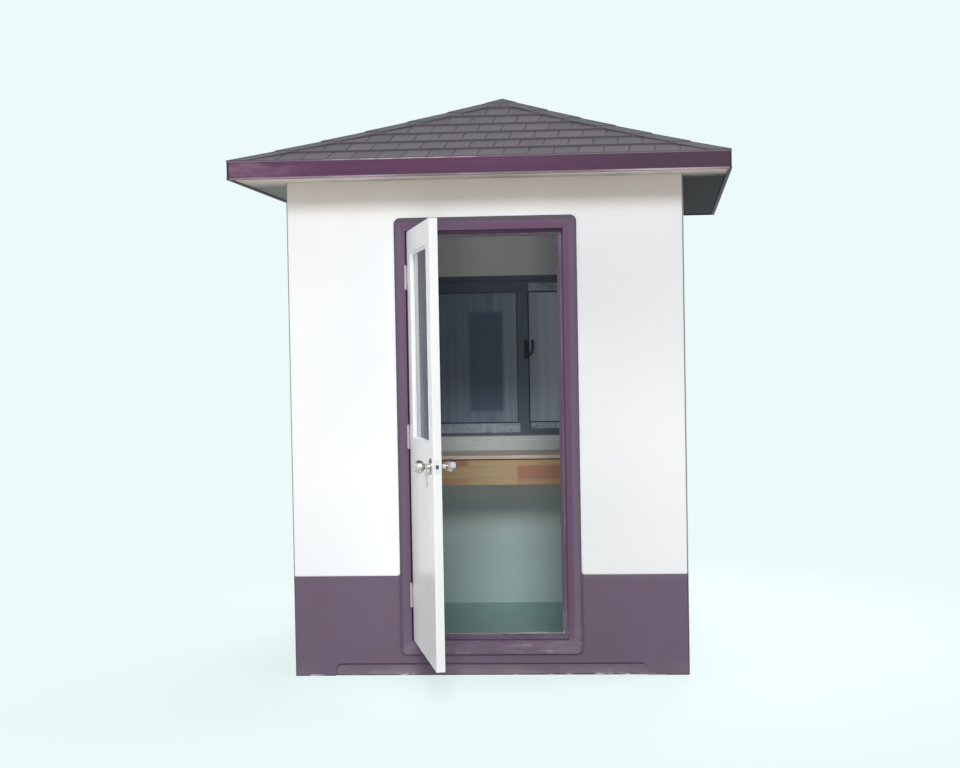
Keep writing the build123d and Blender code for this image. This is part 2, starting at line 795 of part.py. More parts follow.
desk_front = half_room - desk_depth
desk_underside = desk_height - desk_board
apron_front = desk_front + desk_overhang
with BuildPart() as desk_top:
    with BuildSketch(Plane.XY.offset(desk_underside)):
        with Locations((0, half_room - desk_depth / 2)):
            Rectangle(2 * half_room, desk_depth)
    extrude(amount=desk_board)
    front_edges = desk_top.edges().filter_by(Axis.X).group_by(Axis.Y)[0]
    fillet(front_edges, desk_edge_radius)
save(desk_top.part, "desk_top")

with BuildPart() as desk_apron:
    board_length = half_room - apron_joint / 2
    with BuildSketch(Plane.XY.offset(desk_underside)):
        for middle in (-half_room + board_length / 2, half_room - board_length / 2):
            with Locations((middle, apron_front + apron_thickness / 2)):
                Rectangle(board_length, apron_thickness)
    extrude(amount=-apron_height)
save(desk_apron.part, "desk_apron")

with BuildPart() as desk_bearers:
    bearer_front = apron_front + apron_thickness
    side_length = half_room - bearer_front
    back_length = 2 * (half_room - bearer_thickness - apron_joint)
    with BuildSketch(Plane.XY.offset(desk_underside)):
        for middle in (-half_room + bearer_thickness / 2, half_room - bearer_thickness / 2):
            with Locations((middle, bearer_front + side_length / 2)):
                Rectangle(bearer_thickness, side_length)
        with Locations((0, half_room - bearer_thickness / 2)):
            Rectangle(back_length, bearer_thickness)
    extrude(amount=-bearer_height)
save(desk_bearers.part, "desk_bearers")
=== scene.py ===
import json
import math
import random

import bmesh
import bpy
from mathutils import Matrix, Vector, noise


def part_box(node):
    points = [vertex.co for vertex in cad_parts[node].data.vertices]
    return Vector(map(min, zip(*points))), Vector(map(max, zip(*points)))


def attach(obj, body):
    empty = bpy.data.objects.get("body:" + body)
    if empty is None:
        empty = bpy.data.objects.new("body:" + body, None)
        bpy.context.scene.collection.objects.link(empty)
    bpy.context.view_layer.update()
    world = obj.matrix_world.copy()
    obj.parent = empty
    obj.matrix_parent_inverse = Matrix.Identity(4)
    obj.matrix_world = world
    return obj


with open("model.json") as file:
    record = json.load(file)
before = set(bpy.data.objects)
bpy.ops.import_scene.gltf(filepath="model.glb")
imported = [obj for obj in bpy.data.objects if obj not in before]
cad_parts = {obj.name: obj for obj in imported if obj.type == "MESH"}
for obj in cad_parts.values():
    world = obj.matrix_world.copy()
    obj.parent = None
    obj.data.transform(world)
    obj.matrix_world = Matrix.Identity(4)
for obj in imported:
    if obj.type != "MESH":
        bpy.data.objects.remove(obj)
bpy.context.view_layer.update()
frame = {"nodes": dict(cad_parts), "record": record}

# Guard booth: finishes, small parts, studio and camera. Metres, door wall towards -Y.

nodes = frame["nodes"]
windowSides = {"back": 0, "left": 90, "right": -90}  # degrees about Z from the back wall
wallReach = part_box("wall_right")[1].x
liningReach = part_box("wall_right")[0].x
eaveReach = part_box("roof_shell")[1].x
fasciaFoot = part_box("fascia")[0].z
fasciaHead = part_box("fascia")[1].z
print("frame loaded with", len(nodes), "nodes")


# Shader expressions

class Wire:
    # a socket among the nodes of a material or world; arithmetic on it adds Math nodes
    def __init__(self, owner, socket=None):
        self.owner = owner
        self.socket = socket

    def node(self, kind, settings=None, values=None, output=0):
        tree = self.owner.node_tree
        made = tree.nodes.new("ShaderNode" + kind)
        for name, setting in (settings or {}).items():
            setattr(made, name, setting)
        for name, value in (values or {}).items():
            if isinstance(value, Wire):
                tree.links.new(value.socket, made.inputs[name])
            else:
                made.inputs[name].default_value = value
        return Wire(self.owner, made.outputs[output] if made.outputs else None)

    def part(self, letter):
        return self.node("SeparateXYZ", {}, {"Vector": self}, output=letter)

    def parts(self, letters):
        return [self.part(letter) for letter in letters]

    def math(self, operation, *others):
        values = dict(enumerate((self, *others)))
        return self.node("Math", {"operation": operation}, values)

    def __add__(self, other):
        return self.math("ADD", other)

    def __mul__(self, other):
        return self.math("MULTIPLY", other)

    __radd__ = __add__
    __rmul__ = __mul__

    def __sub__(self, other):
        return self.math("SUBTRACT", other)

    def __rsub__(self, other):
        return self.node("Math", {"operation": "SUBTRACT"}, {0: other, 1: self})

    def __truediv__(self, other):
        return self.math("DIVIDE", other)

    def __abs__(self):
        return self.math("ABSOLUTE")

    def larger(self, other):
        return self.math("MAXIMUM", other)

    def smaller(self, other):
        return self.math("MINIMUM", other)

    # 0 below low, 1 above high, smooth between; falls when low is above high
    def rise(self, low, high):
        if low > high:
            return 1 - self.rise(high, low)
        values = {"Value": self, "From Min": low, "From Max": high}
        return self.node("MapRange", {"interpolation_type": "SMOOTHSTEP"}, values)

    # 1 from low to high; each end's fade starts before it and stops after it
    def within(self, low, high, before, after):
        return self.rise(low - before, low + after) * self.rise(high + after, high - before)

    # colour that goes from first, where this wire is 0, to second, where it is 1
    def blend(self, first, second):
        return self.node("Mix", {"data_type": "RGBA"}, {0: self, 6: first, 7: second}, output=2)

    # a random number from 0 to 1 for each value
    def scatter(self):
        return self.node("TexWhiteNoise", {"noise_dimensions": "1D"}, {"W": self})

    def stretch(self, x, y, z):
        return self.node("Mapping", {}, {"Vector": self, "Scale": (x, y, z)})

    def noise(self, scale, detail=2.0, roughness=0.5):
        values = {"Vector": self, "Scale": scale, "Detail": detail, "Roughness": roughness}
        return self.node("TexNoise", {}, values)

    def bump(self, strength, distance, under=None):
        values = {"Strength": strength, "Distance": distance, "Height": self}
        if under is not None:
            values["Normal"] = under
        return self.node("Bump", {}, values)

    # how squarely the surface faces along an axis, from -1 to 1
    def facing(self, letter):
        return self.node("NewGeometry", output="True Normal").part(letter)


def distance(aside, up):
    return (aside * aside + up * up).math("SQRT")


def rgb(red, green, blue):
    # screen values 0-255 to the shader's linear colour
    def linear(value):
        share = value / 255
        return share / 12.92 if share <= 0.04045 else ((share + 0.055) / 1.055) ** 2.4
    return (linear(red), linear(green), linear(blue), 1.0)


def startNodes(owner):
    owner.use_nodes = True
    owner.node_tree.nodes.clear()
    return Wire(owner)


def startFinish(name):
    return startNodes(bpy.data.materials.new(name)).node("TexCoord", output="Object")


def endFinish(place, looks):
    surface = place.node("BsdfPrincipled", {}, looks)
    place.node("OutputMaterial", {}, {"Surface": surface})
    return place.owner


def plainFinish(name, look):
    # two tones mottled by one noise; that noise, or a finer grain, sets roughness and bump
    place = startFinish(name)
    mottle = place.stretch(*look.get("stretch", (1, 1, 1))).noise(*look["noise"])
    share = mottle.rise(*look["mix"]) if "mix" in look else mottle
    grain = place.noise(*look["grain"]) if "grain" in look else mottle
    base, spread = look["roughness"]
    looks = {
        "Base Color": share.blend(*look["tones"]),
        "Metallic": look.get("metallic", 0.0),
        "Roughness": base + grain * spread,
    }
    if "bump" in look:
        looks["Normal"] = grain.bump(*look["bump"])
    return endFinish(place, looks)


def dress(material, *names):
    for name in names:
        for slot in nodes[name].material_slots:
            slot.material = material


# Finishes

# a pair of numbers named after a place says where a shade starts and where it is full

gelcoat = {
    "white": rgb(250, 253, 253),
    "cool": rgb(245, 249, 253),
    # dusty: dust, and the warm painted shade under the eaves
    "dusty": rgb(217, 208, 196),
    "paintedShade": rgb(219, 222, 226),
    # rim: a painted highlight along the white field's lower edge
    "rim": rgb(240, 228, 238),
    "cornerShade": rgb(84, 88, 92),
    "shadedCorners": (wallReach - 0.0075, wallReach - 0.0045),
    "front": (-0.5, -0.6),
    "right": (0.0, 0.5),
    "fieldCorner": 0.014,
    "roundedBelow": (0.60, 0.62),
    "overCorner": 0.001,
    "border": (0.0008, -0.0008),
    "rimOuter": (0.0, -0.0015),
    "rimInner": (-0.007, -0.003),
    "rimHeight": (0.52, 0.47),
    "paintedShadeHeight": (0.8, 2.1),
    "paintedShadeTop": (1.5, 2.1),
    "underEaves": (1.96, 2.18),
    "orangePeel": 260,
}

footBand = {
    "tone": rgb(104, 89, 110),
    "warm": rgb(104, 86, 105),
    "pale": rgb(126, 120, 130),
    # corner: painted shade down the foot band's corners
    "corner": rgb(66, 54, 70),
    "dust": rgb(140, 132, 138),
    "line": rgb(58, 46, 62),
    "scrape": rgb(206, 200, 202),
    "top": 0.445,
    "paleDepth": (0.026, 0.006),  # below the band's top
    "toeTop": 0.055,
    "toeEdge": (-0.002, -0.0005),  # below the toe recess's top
    "toeShadow": (0.013, 0.003),
    "toeRecess": (0.0035, 0.0055),  # behind the wall's face
    "ground": (0.008, 0.003),
    "scraped": (0.010, 0.005),
    "settled": (0.040, 0.008),
    "splashed": (0.10, 0.0),
    "surroundCorner": 0.028,
    "surroundShade": (0.013, 0.002),
}

lining = {
    "tone": rgb(231, 233, 233),
    "dull": rgb(219, 222, 221),
    # foot: painted reflected light of the green floor
    "foot": rgb(172, 196, 196),
    "footHeight": (0.85, 0.30),
    "patchArea": (0.83, 0.95),
    "patchFade": 0.03,
    "patchRight": (-0.2, 0.3),
    "reach": (liningReach + 0.0006, liningReach + 0.0002),
}


def besideSurround(place):
    # distance out from the door surround's sides
    low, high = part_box("door_surround")
    return abs(place.part("X") - (low.x + high.x) / 2) - (high.x - low.x) / 2


def fieldEdge(place, across):
    # distance out from the white field, whose lower corners are rounded
    x, y, z = place.parts("XYZ")
    corner = gelcoat["fieldCorner"]
    aside = abs(x if across == "x" else y) - (wallReach + gelcoat["overCorner"] - corner)
    if across == "x":
        elsewhere = z.rise(*gelcoat["roundedBelow"]) + 1 - y.rise(*gelcoat["front"])
        aside = aside.larger(corner - besideSurround(place) - elsewhere * 9)
    below = (footBand["top"] + corner) - z
    return distance(aside.larger(0), below.larger(0)) - corner


def whiteField(place, across, edge, streaks):
    x, y, z = place.parts("XYZ")
    colour = place.noise(1.3, 3).rise(0.35, 0.7).blend(gelcoat["white"], gelcoat["cool"])
    grit = place.noise(95, 4, 0.7).rise(0.72, 0.8)
    colour = (grit * 0.2).blend(colour, gelcoat["dusty"])
    if across == "x":
        # painted shade: the door wall greyer to the right, more so higher up, and along its top
        paintedShade = x.rise(*gelcoat["right"]) * z.rise(*gelcoat["paintedShadeHeight"]) * 0.95
        paintedShade = paintedShade.larger(z.rise(*gelcoat["paintedShadeTop"]) * 0.42)
        colour = (paintedShade * y.rise(*gelcoat["front"]) * 0.8).blend(colour, gelcoat["paintedShade"])
    # painted shade: a warm band under the eaves, with some dust in its streaks
    dusty = z.rise(*gelcoat["underEaves"]) * (0.48 + streaks * 0.4)
    colour = dusty.blend(colour, gelcoat["dusty"])
    # painted highlight: a pale pinkish line just inside the white field's lower edge, near the
    # foot
    rim = edge.rise(*gelcoat["rimInner"]) * edge.rise(*gelcoat["rimOuter"])
    return (rim * z.rise(*gelcoat["rimHeight"]) * 0.8).blend(colour, gelcoat["rim"])


def footTone(place, across, shadedCorners, recess, dirt):
    x, y, z = place.parts("XYZ")
    mottle = place.stretch(3, 3, 1).noise(1.6, 4).rise(0.35, 0.7)
    colour = mottle.blend(footBand["tone"], footBand["warm"])
    paleTop = (footBand["top"] - z).rise(*footBand["paleDepth"]) * x.rise(*gelcoat["right"])
    colour = (paleTop * 0.25).blend(colour, footBand["pale"])
    if across == "x":
        bend = footBand["surroundCorner"]
        aside = (besideSurround(place) + bend).larger(0)
        beneath = (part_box("door_surround")[0].z - z + bend).larger(0)
        shaded = (distance(aside, beneath) - bend).rise(*footBand["surroundShade"])
        colour = (shaded * y.rise(*gelcoat["front"]) * 0.32).blend(colour, footBand["line"])
    # painted shade down the wall's corners
    colour = (shadedCorners * 0.8).blend(colour, footBand["corner"])
    colour = dirt.blend(colour, footBand["dust"])
    toeShadow = recess * (footBand["toeTop"] - z).rise(*footBand["toeShadow"])
    colour = (toeShadow * 0.85).blend(colour, footBand["line"])
    # painted shade along the ground
    colour = (z.rise(*footBand["ground"]) * 0.7).blend(colour, footBand["line"])
    scrapes = place.stretch(14, 14, 90).noise(1.0, 5, 0.65).rise(0.55, 0.65)
    return (scrapes * z.rise(*footBand["scraped"]) * 0.9).blend(colour, footBand["scrape"])


def liningTone(place):
    # pale grey; green towards the floor and on a strip above the desk, stronger to the right, a
    # painted reflection of the green floor's light
    x, z = place.parts("XZ")
    colour = place.noise(2.2, 3).rise(0.35, 0.7).blend(lining["tone"], lining["dull"])
    fade = lining["patchFade"]
    patchArea = z.within(*lining["patchArea"], fade, fade)
    patchArea = patchArea * (0.25 + x.rise(*lining["patchRight"]) * 0.35)
    # painted reflected light of the green floor, towards the floor and on the strip
    green = (z.rise(*lining["footHeight"]) * 0.9).larger(patchArea)
    return green.blend(colour, lining["foot"])


def wallGelcoat(name, across):
    # across: the axis that runs along the wall's face; only the door wall has a surround
    place = startFinish(name)
    x, y, z = place.parts("XYZ")
    reach = abs(x).larger(abs(y))
    # painted shade: a dark line down the wall's rounded corners
    shadedCorners = abs(x).smaller(abs(y)).rise(*gelcoat["shadedCorners"])
    streaks = place.stretch(9, 9, 0.8).noise(1.0, 3)
    edge = fieldEdge(place, across)
    field = edge.rise(*gelcoat["border"])
    underToe = (footBand["toeTop"] - z).rise(*footBand["toeEdge"])
    recess = (wallReach - reach).rise(*footBand["toeRecess"]) * underToe
    dust = 0.35 + place.stretch(5, 5, 12).noise(1.0, 5, 0.6).rise(0.40, 0.60) * 0.65
    settled = z.rise(*footBand["settled"]) * 0.45 + 0.25
    splashed = z.rise(*footBand["splashed"]) * 0.2 * streaks.rise(0.3, 0.7)
    dirt = (recess * dust * settled + splashed).smaller(1)
    white = (shadedCorners * 0.85).blend(whiteField(place, across, edge, streaks), gelcoat["cornerShade"])
    outer = field.blend(footTone(place, across, shadedCorners, recess, dirt), white)
    indoors = reach.rise(*lining["reach"])
    peel = place.noise(gelcoat["orangePeel"], 2).bump(0.10, 0.0006)
    panel = place.noise(2.4, 2).bump(0.35, 0.004, peel)
    return endFinish(place, {
        "Base Color": indoors.blend(outer, liningTone(place)),
        "Roughness": 0.26 + (1 - field) * 0.20 + indoors * 0.22 + dirt * 0.3 + streaks * 0.08,
        "Specular IOR Level": 0.38,
        "Normal": field.bump(0.6, 0.0008, panel),
    })


ceiling = {"pale": rgb(214, 222, 220), "dull": rgb(200, 210, 207)}


def ceilingLining():
    place = startFinish("ceilingLining")
    mottled = place.noise(3.1, 4).rise(0.3, 0.7)
    return endFinish(place, {
        "Base Color": mottled.blend(ceiling["pale"], ceiling["dull"]),
        "Roughness": 0.5 + place.noise(9) * 0.12,
        "Normal": place.noise(140, 3).bump(0.2, 0.0008),
    })


greenFloor = {
    "tone": rgb(150, 190, 182),
    "worn": rgb(162, 194, 188),
    "doorSide": rgb(178, 206, 202),
    "fleck": rgb(116, 156, 146),
    "towardsDoor": (-0.45, -0.85),
}


def floorGelcoat():
    place = startFinish("floorGreen")
    worn = place.noise(4.0, 5, 0.6).rise(0.45, 0.75)
    colour = worn.blend(greenFloor["tone"], greenFloor["worn"])
    # paler towards the doorway
    towardsDoor = place.part("Y").rise(*greenFloor["towardsDoor"])
    colour = (towardsDoor * 0.9).blend(colour, greenFloor["doorSide"])
    flecks = place.noise(170, 2).rise(0.62, 0.70)
    colour = (flecks * 0.5).blend(colour, greenFloor["fleck"])
    scuffs = place.stretch(3, 40, 1).noise(1.0, 5, 0.6).rise(0.66, 0.74)
    return endFinish(place, {
        "Base Color": (scuffs * 0.3).blend(colour, greenFloor["worn"]),
        "Roughness": 0.38 + worn * 0.2,
        "Normal": flecks.bump(0.15, 0.0006),
    })


roof = {
    "grey": rgb(103, 98, 105),
    "violet": rgb(100, 92, 104),
    "rose": rgb(111, 97, 108),
    "dark": rgb(82, 77, 85),
    "cap": rgb(58, 54, 62),
    "joint": rgb(66, 57, 66),
    "drip": rgb(120, 104, 120),
    "dripPale": rgb(196, 188, 194),
    "dripEdge": (eaveReach - 0.0015, eaveReach - 0.0005),
    "aboveDrip": (fasciaHead + 0.0005, fasciaHead + 0.002),
    "towardsCrown": (fasciaHead + 0.10, fasciaHead + 0.42),
    "hipCrease": (0.030, 0.012),
}


def roofMoulding(name, role):
    # the shell is dark where it shows in the joints; upright faces of tabs and caps get painted
    # shade
    place = startFinish(name)
    x, y, z = place.parts("XYZ")
    colour = place.noise(3.4, 4).rise(0.40, 0.66).blend(roof["grey"], roof["violet"])
    grain = place.noise(420, 3, 0.7)
    colour = (grain.rise(0.45, 0.75) * 0.5).blend(colour, roof["dark"])
    weathered = place.stretch(12, 12, 3).noise(1.0, 5, 0.6)
    colour = (weathered.rise(0.5, 0.75) * 0.5).blend(colour, roof["dark"])
    if role == "shell":
        colour = (z.rise(*roof["aboveDrip"]) * 0.85).blend(colour, roof["joint"])
        pale = x.rise(-0.75, -0.45) * x.rise(0.15, -0.05) * weathered.rise(0.35, 0.6)
        drip = pale.blend(roof["drip"], roof["dripPale"])
        colour = abs(x).larger(abs(y)).rise(*roof["dripEdge"]).blend(colour, drip)
    colour = (z.rise(*roof["towardsCrown"]) * 0.35).blend(colour, roof["dark"])
    if role == "caps":
        crease = abs(abs(x) - abs(y)).rise(*roof["hipCrease"])
        colour = (crease * 0.8).blend(colour, roof["cap"])
    if role == "tabs":
        shade = place.node("Attribute", {"attribute_name": "tabShade"}, output="Fac")
        colour = (shade.rise(0.0, 0.35) * 0.5).blend(roof["rose"], colour)
        colour = (shade.rise(0.5, 1.0) * 0.45).blend(colour, roof["dark"])
    # painted shade on the upright faces, in the joint colour
    if role != "shell":
        upright = place.facing("Z").rise(0.55, 0.35)
        colour = (upright * 0.75).blend(colour, roof["joint"])
    grit = grain.bump(0.5, 0.0012)
    return endFinish(place, {
        "Base Color": colour,
        "Roughness": 0.52 + grain * 0.2,
        "Normal": place.noise(60, 3).bump(0.3, 0.001, grit),
    })


fascia = {
    "tone": rgb(90, 48, 82),
    "dull": rgb(86, 57, 84),
    "low": rgb(76, 51, 74),
    "shade": rgb(61, 40, 60),
    "scuff": rgb(160, 130, 152),
    "lipHighlight": rgb(186, 168, 180),
    # seam: dark corner seams, and the painted shade on the undersides
    "seam": rgb(34, 27, 36),
    "lowHalf": (0.018, -0.006),  # up from the fascia's middle
    "shadedRight": (0.1, 0.8),
    "darkBelow": (-0.3, 0.3),
    "scuffedLeft": (-0.62, -0.98),
    "highlightFainterLeft": (-0.4, -0.9),
    "front": (eaveReach * -0.97, -eaveReach),
    "outerFace": (eaveReach - 0.0013, eaveReach - 0.0004),
    "lipHighlightHeight": (fasciaFoot + 0.0090, fasciaFoot + 0.0075),
    "seamWidth": (eaveReach - 0.0130, eaveReach - 0.0095),
}


def fasciaPaint():
    # scuffed towards the front's left end; a painted highlight along the lip at the foot, painted
    # shade on the undersides and towards the right end, and dark corner seams
    place = startFinish("fasciaPurple")
    x, y, z = place.parts("XYZ")
    length = place.stretch(1.2, 1.2, 30).noise(1.6, 4)
    colour = length.rise(0.4, 0.65).blend(fascia["tone"], fascia["dull"])
    up = z - (fasciaFoot + fasciaHead) / 2
    lowHalf = (up + length * 0.02).rise(*fascia["lowHalf"])
    colour = (lowHalf * 0.6).blend(colour, fascia["low"])
    colour = (x.rise(*fascia["shadedRight"]) * 0.8).blend(colour, fascia["shade"])
    scuffed = x.rise(*fascia["scuffedLeft"]) * (y.rise(*fascia["front"]) * 0.8 + 0.2)
    scuffed = scuffed.smaller(1)
    brushed = place.stretch(2.2, 2.2, 60).noise(1.0, 5, 0.7).rise(0.50, 0.70)
    colour = (scuffed * brushed * 0.55).blend(colour, fascia["scuff"])
    cloudy = place.stretch(5, 5, 16).noise(1.0, 5, 0.6).rise(0.42, 0.66)
    colour = (scuffed * cloudy * 0.35).blend(colour, fascia["scuff"])
    # painted highlight along the lip at the fascia's foot, patchy and fainter to the left
    patchy = 0.35 + place.stretch(3, 3, 1).noise(1.2, 4).rise(0.35, 0.7) * 0.65
    patchy = patchy * (1 - x.rise(*fascia["highlightFainterLeft"]) * 0.5)
    outward = abs(x).larger(abs(y)).rise(*fascia["outerFace"])
    colour = (z.rise(*fascia["lipHighlightHeight"]) * outward * patchy).blend(colour, fascia["lipHighlight"])
    seam = abs(x).smaller(abs(y)).rise(*fascia["seamWidth"])
    # painted shade on the downward faces, deeper to the right
    underside = place.facing("Z").rise(-0.3, -0.6) * (0.55 + x.rise(*fascia["darkBelow"]) * 0.4)
    colour = (seam.larger(underside) * 0.85).blend(colour, fascia["seam"])
    peel = place.noise(230, 2).bump(0.12, 0.0006)
    return endFinish(place, {
        "Base Color": colour,
        "Roughness": 0.50 + length * 0.12,
        "Specular IOR Level": 0.3,
        "Normal": place.stretch(1, 1, 4).noise(3.0, 2).bump(0.4, 0.003, peel),
    })


surround = {
    "tone": rgb(103, 82, 106),
    "dull": rgb(100, 86, 106),
    "pale": rgb(124, 111, 130),
    "shadedCrest": rgb(78, 76, 88),
    "inner": rgb(96, 62, 92),
    "jamb": rgb(80, 54, 80),
    "dust": rgb(134, 123, 134),
    "chip": rgb(222, 216, 218),
    "line": rgb(34, 27, 36),
    "litHeight": (1.7, 0.5),
    "palerSill": (0.30, 0.18),
    "litRight": (0.1, 0.35),
    "headBand": (0.060, 0.035),
    "headCrestShade": (0.026, 0.014),
    "shadedCrestWidth": (0.020, 0.006),
    "innerWidth": (0.026, 0.042),
    "innerFoot": (0.05, 0.09),  # up from the surround's foot, as the next two are
    "scuffedFoot": (0.062, 0.048),
    "ground": (0.0045, 0.0015),
    "outerFace": (0.030, 0.010),  # in from the surround's face, as the next two are
    "jambDepth": (0.014, 0.030),
    "rimDepth": (0.036, 0.041),
    "innerRight": (-0.2, 0.2),
    "jambRight": (0.0, 0.2),
    "chippedRight": (0.02, 0.26),
    "scuffedRight": (-0.1, 0.2),
    "jambHeight": (0.25, 0.32),
    "dustyHeight": (0.30, 0.10),
    "rimFoot": (0.1780, 0.1805),
    "rimHead": (0.190, 0.186),
}


def surroundPaint():
    # painted shade on the rounded crest round the outside, purple inside it, painted light on the
    # right half, painted shade in the right jamb and along the foot, dust and chips along the
    # threshold
    place = startFinish("surroundPurple")
    x, y, z = place.parts("XYZ")
    low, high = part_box("door_surround")
    fromFace = y - low.y
    fromFoot = z - low.z
    fromHead = high.z - z
    tone = place.stretch(5, 5, 1.2).noise(1.4, 4)
    colour = tone.rise(0.38, 0.66).blend(surround["tone"], surround["dull"])
    # painted light: the right half lighter, more so lower down; also paler near the sill
    onRight = x.rise(*surround["litRight"])
    sill = z.rise(*surround["palerSill"])
    lighterRightAndSill = onRight * z.rise(*surround["litHeight"]) * 0.35 + sill * 0.15
    colour = lighterRightAndSill.blend(colour, surround["pale"])
    colour = (fromHead.rise(*surround["headBand"]) * 0.4).blend(colour, surround["inner"])
    inwards = (x - low.x).smaller(high.x - x).smaller(fromHead)
    # painted shade on the rounded outer crest, less on the right, and along the head
    shadedCrest = inwards.rise(*surround["shadedCrestWidth"]) * (0.75 - onRight * 0.40)
    shadedCrest = shadedCrest.larger(fromHead.rise(*surround["headCrestShade"]) * 0.85)
    colour = shadedCrest.blend(colour, surround["shadedCrest"])
    inner = inwards.rise(*surround["innerWidth"]) * fromFoot.rise(*surround["innerFoot"])
    inner = inner * fromFace.rise(*surround["outerFace"])
    inner = inner * (0.3 + x.rise(*surround["innerRight"]) * 0.35)
    colour = inner.blend(colour, surround["inner"])
    # painted shade inside the rebate of the right jamb
    jamb = fromFace.rise(*surround["jambDepth"]) * x.rise(*surround["jambRight"])
    jamb = jamb * z.rise(*surround["jambHeight"])
    colour = (jamb * 0.6).blend(colour, surround["jamb"])
    dusty = z.rise(*surround["dustyHeight"]) * place.noise(14, 5, 0.6).rise(0.45, 0.75)
    colour = (dusty * 0.7).blend(colour, surround["dust"])
    rim = z.rise(*surround["rimFoot"]) * z.rise(*surround["rimHead"])
    rim = rim * fromFace.rise(*surround["rimDepth"])
    chips = place.stretch(9, 9, 60).noise(1.0, 5, 0.65).rise(0.46, 0.60)
    chips = chips * x.rise(*surround["chippedRight"])
    colour = (rim * (0.3 + chips * 0.7)).blend(colour, surround["chip"])
    scuffed = place.stretch(6, 6, 50).noise(1.0, 5, 0.65).rise(0.50, 0.66)
    scuffed = scuffed * fromFoot.rise(*surround["scuffedFoot"]) * x.rise(*surround["scuffedRight"])
    colour = (scuffed * 0.18).blend(colour, surround["chip"])
    # painted shadow along the surround's foot
    ground = fromFoot.rise(*surround["ground"])
    return endFinish(place, {
        "Base Color": (ground * 0.7).blend(colour, surround["line"]),
        "Roughness": 0.46 + tone * 0.12 + dusty * 0.2,
        "Specular IOR Level": 0.34,
        "Normal": place.noise(230, 2).bump(0.12, 0.0006),
    })


soffit = {
    "dark": rgb(44, 44, 49),
    "litSlate": rgb(146, 152, 149),
    "pale": rgb(244, 235, 230),
    "litSlateLeft": (-0.2, -0.7),
    "litFront": (-0.72, -1.04),
}


def soffitPaint():
    # painted light: pale along the front edge and slate on the left; behind the front edge it is
    # dark on the right
    place = startFinish("soffitDark")
    x, y = place.parts("XY")
    cloud = place.stretch(2.4, 1.0, 1.0).noise(2.8, 4)
    # painted light: slate on the left, pale along the front edge
    litSlate = (x + cloud * 0.3).rise(*soffit["litSlateLeft"])
    colour = litSlate.blend(soffit["dark"], soffit["litSlate"])
    forward = (y + (cloud - 0.5) * 0.22 - litSlate * 0.05).rise(*soffit["litFront"])
    grain = place.noise(150, 3)
    return endFinish(place, {
        "Base Color": forward.blend(colour, soffit["pale"]),
        "Roughness": 0.62 + grain * 0.15,
        "Specular IOR Level": 0.08,
        "Normal": grain.bump(0.2, 0.0008),
    })


aluminium = {"coat": rgb(97, 107, 123), "dust": rgb(138, 148, 162), "dustySill": (1.0, 0.955)}


def windowCoat():
    place = startFinish("windowAluminium")
    dust = place.noise(11, 5, 0.65).rise(0.5, 0.85)
    dust = dust + place.part("Z").rise(*aluminium["dustySill"]) * 0.4
    return endFinish(place, {
        "Base Color": (dust.smaller(1) * 0.35).blend(aluminium["coat"], aluminium["dust"]),
        "Roughness": 0.38 + dust * 0.15,
        "Normal": place.noise(900, 2).bump(0.2, 0.0003),
    })


# the middle of each pane was wiped once; dust is left along its margins
tinted = {
    "tint": rgb(106, 121, 142),
    "dust": rgb(160, 170, 188),
    "streak": rgb(178, 186, 200),
    "outdoors": rgb(44, 54, 62),
    "rain": rgb(86, 98, 106),
    "reflectivity": 1.75,
    "patchArea": [(-0.300, -0.112), (0.24, 0.44)],
    "wipedHeight": (1.096, 1.650),
    "fade": (0.008, 0.020),
    "dustier": (-0.16, -0.06),
}


def windowPane(side):
    place = startFinish(f"windowGlass_{side}")
    z = place.part("Z")
    along = place.part("X" if side == "back" else "Y")
    if side == "right":
        along = along * -1
    ragged = place.noise(24, 3) * 0.012
    patchArea = sum((along + ragged).within(*patch, *tinted["fade"]) for patch in tinted["patchArea"])
    patchArea = patchArea * (z + ragged).within(*tinted["wipedHeight"], *tinted["fade"])
    dusty = 1 - patchArea
    streaks = place.stretch(30, 30, 0.5).noise(1.0, 4, 0.6)
    settled = 0.42 + along.rise(*tinted["dustier"]) * 0.24
    haze = dusty * (settled + streaks.rise(0.35, 0.7) * 0.30)
    colour = haze.blend(tinted["tint"], tinted["dust"])
    colour = (streaks.rise(0.62, 0.72) * dusty * 0.25).blend(colour, tinted["streak"])
    outward = place.facing("Y" if side == "back" else "X") * (-1 if side == "left" else 1)
    rained = place.stretch(16, 16, 0.9).noise(1.0, 5, 0.65).rise(0.40, 0.75)
    outdoors = (rained * 0.3).blend(tinted["outdoors"], tinted["rain"])
    return endFinish(place, {
        "Base Color": outward.rise(0.3, 0.6).blend(colour, outdoors),
        "Roughness": 0.03 + dusty * 0.10,
        "IOR": tinted["reflectivity"],
        "Alpha": 0.965 + dusty * 0.02,
        "Normal": place.noise(1.6, 1).bump(0.04, 0.002),
    })


clearPane = {
    "tint": rgb(108, 124, 131),
    "dust": rgb(180, 195, 201),
    "clear": 0.14,
    "reflectivity": 1.5,
}


def doorPane():
    # clear when seen squarely, a mirror when seen along its face
    place = startFinish("doorGlassClear")
    haze = place.stretch(3, 3, 0.7).noise(1.5, 5, 0.6)
    glance = place.node("Fresnel", {}, {"IOR": clearPane["reflectivity"]})
    return endFinish(place, {
        "Base Color": haze.rise(0.4, 0.8).blend(clearPane["tint"], clearPane["dust"]),
        "Roughness": 0.02 + haze * 0.04,
        "Alpha": (clearPane["clear"] + haze * 0.08 + glance * 1.6).smaller(1),
    })


board = {
    "pale": rgb(198, 175, 134),
    "honey": rgb(202, 170, 130),
    "red": rgb(184, 134, 114),
    "glue": rgb(104, 74, 58),
    "dust": rgb(238, 230, 220),
    "stave": 0.46,
    "topRow": 0.052,
    "apronRows": [0.27, 0.76],  # down from the apron's top, as shares of its height
    "redEnds": (-0.262, -0.265),
    "underTop": (0.009, 0.004),
    "starts": {"top": 5.0, "apron": 11.0},
}


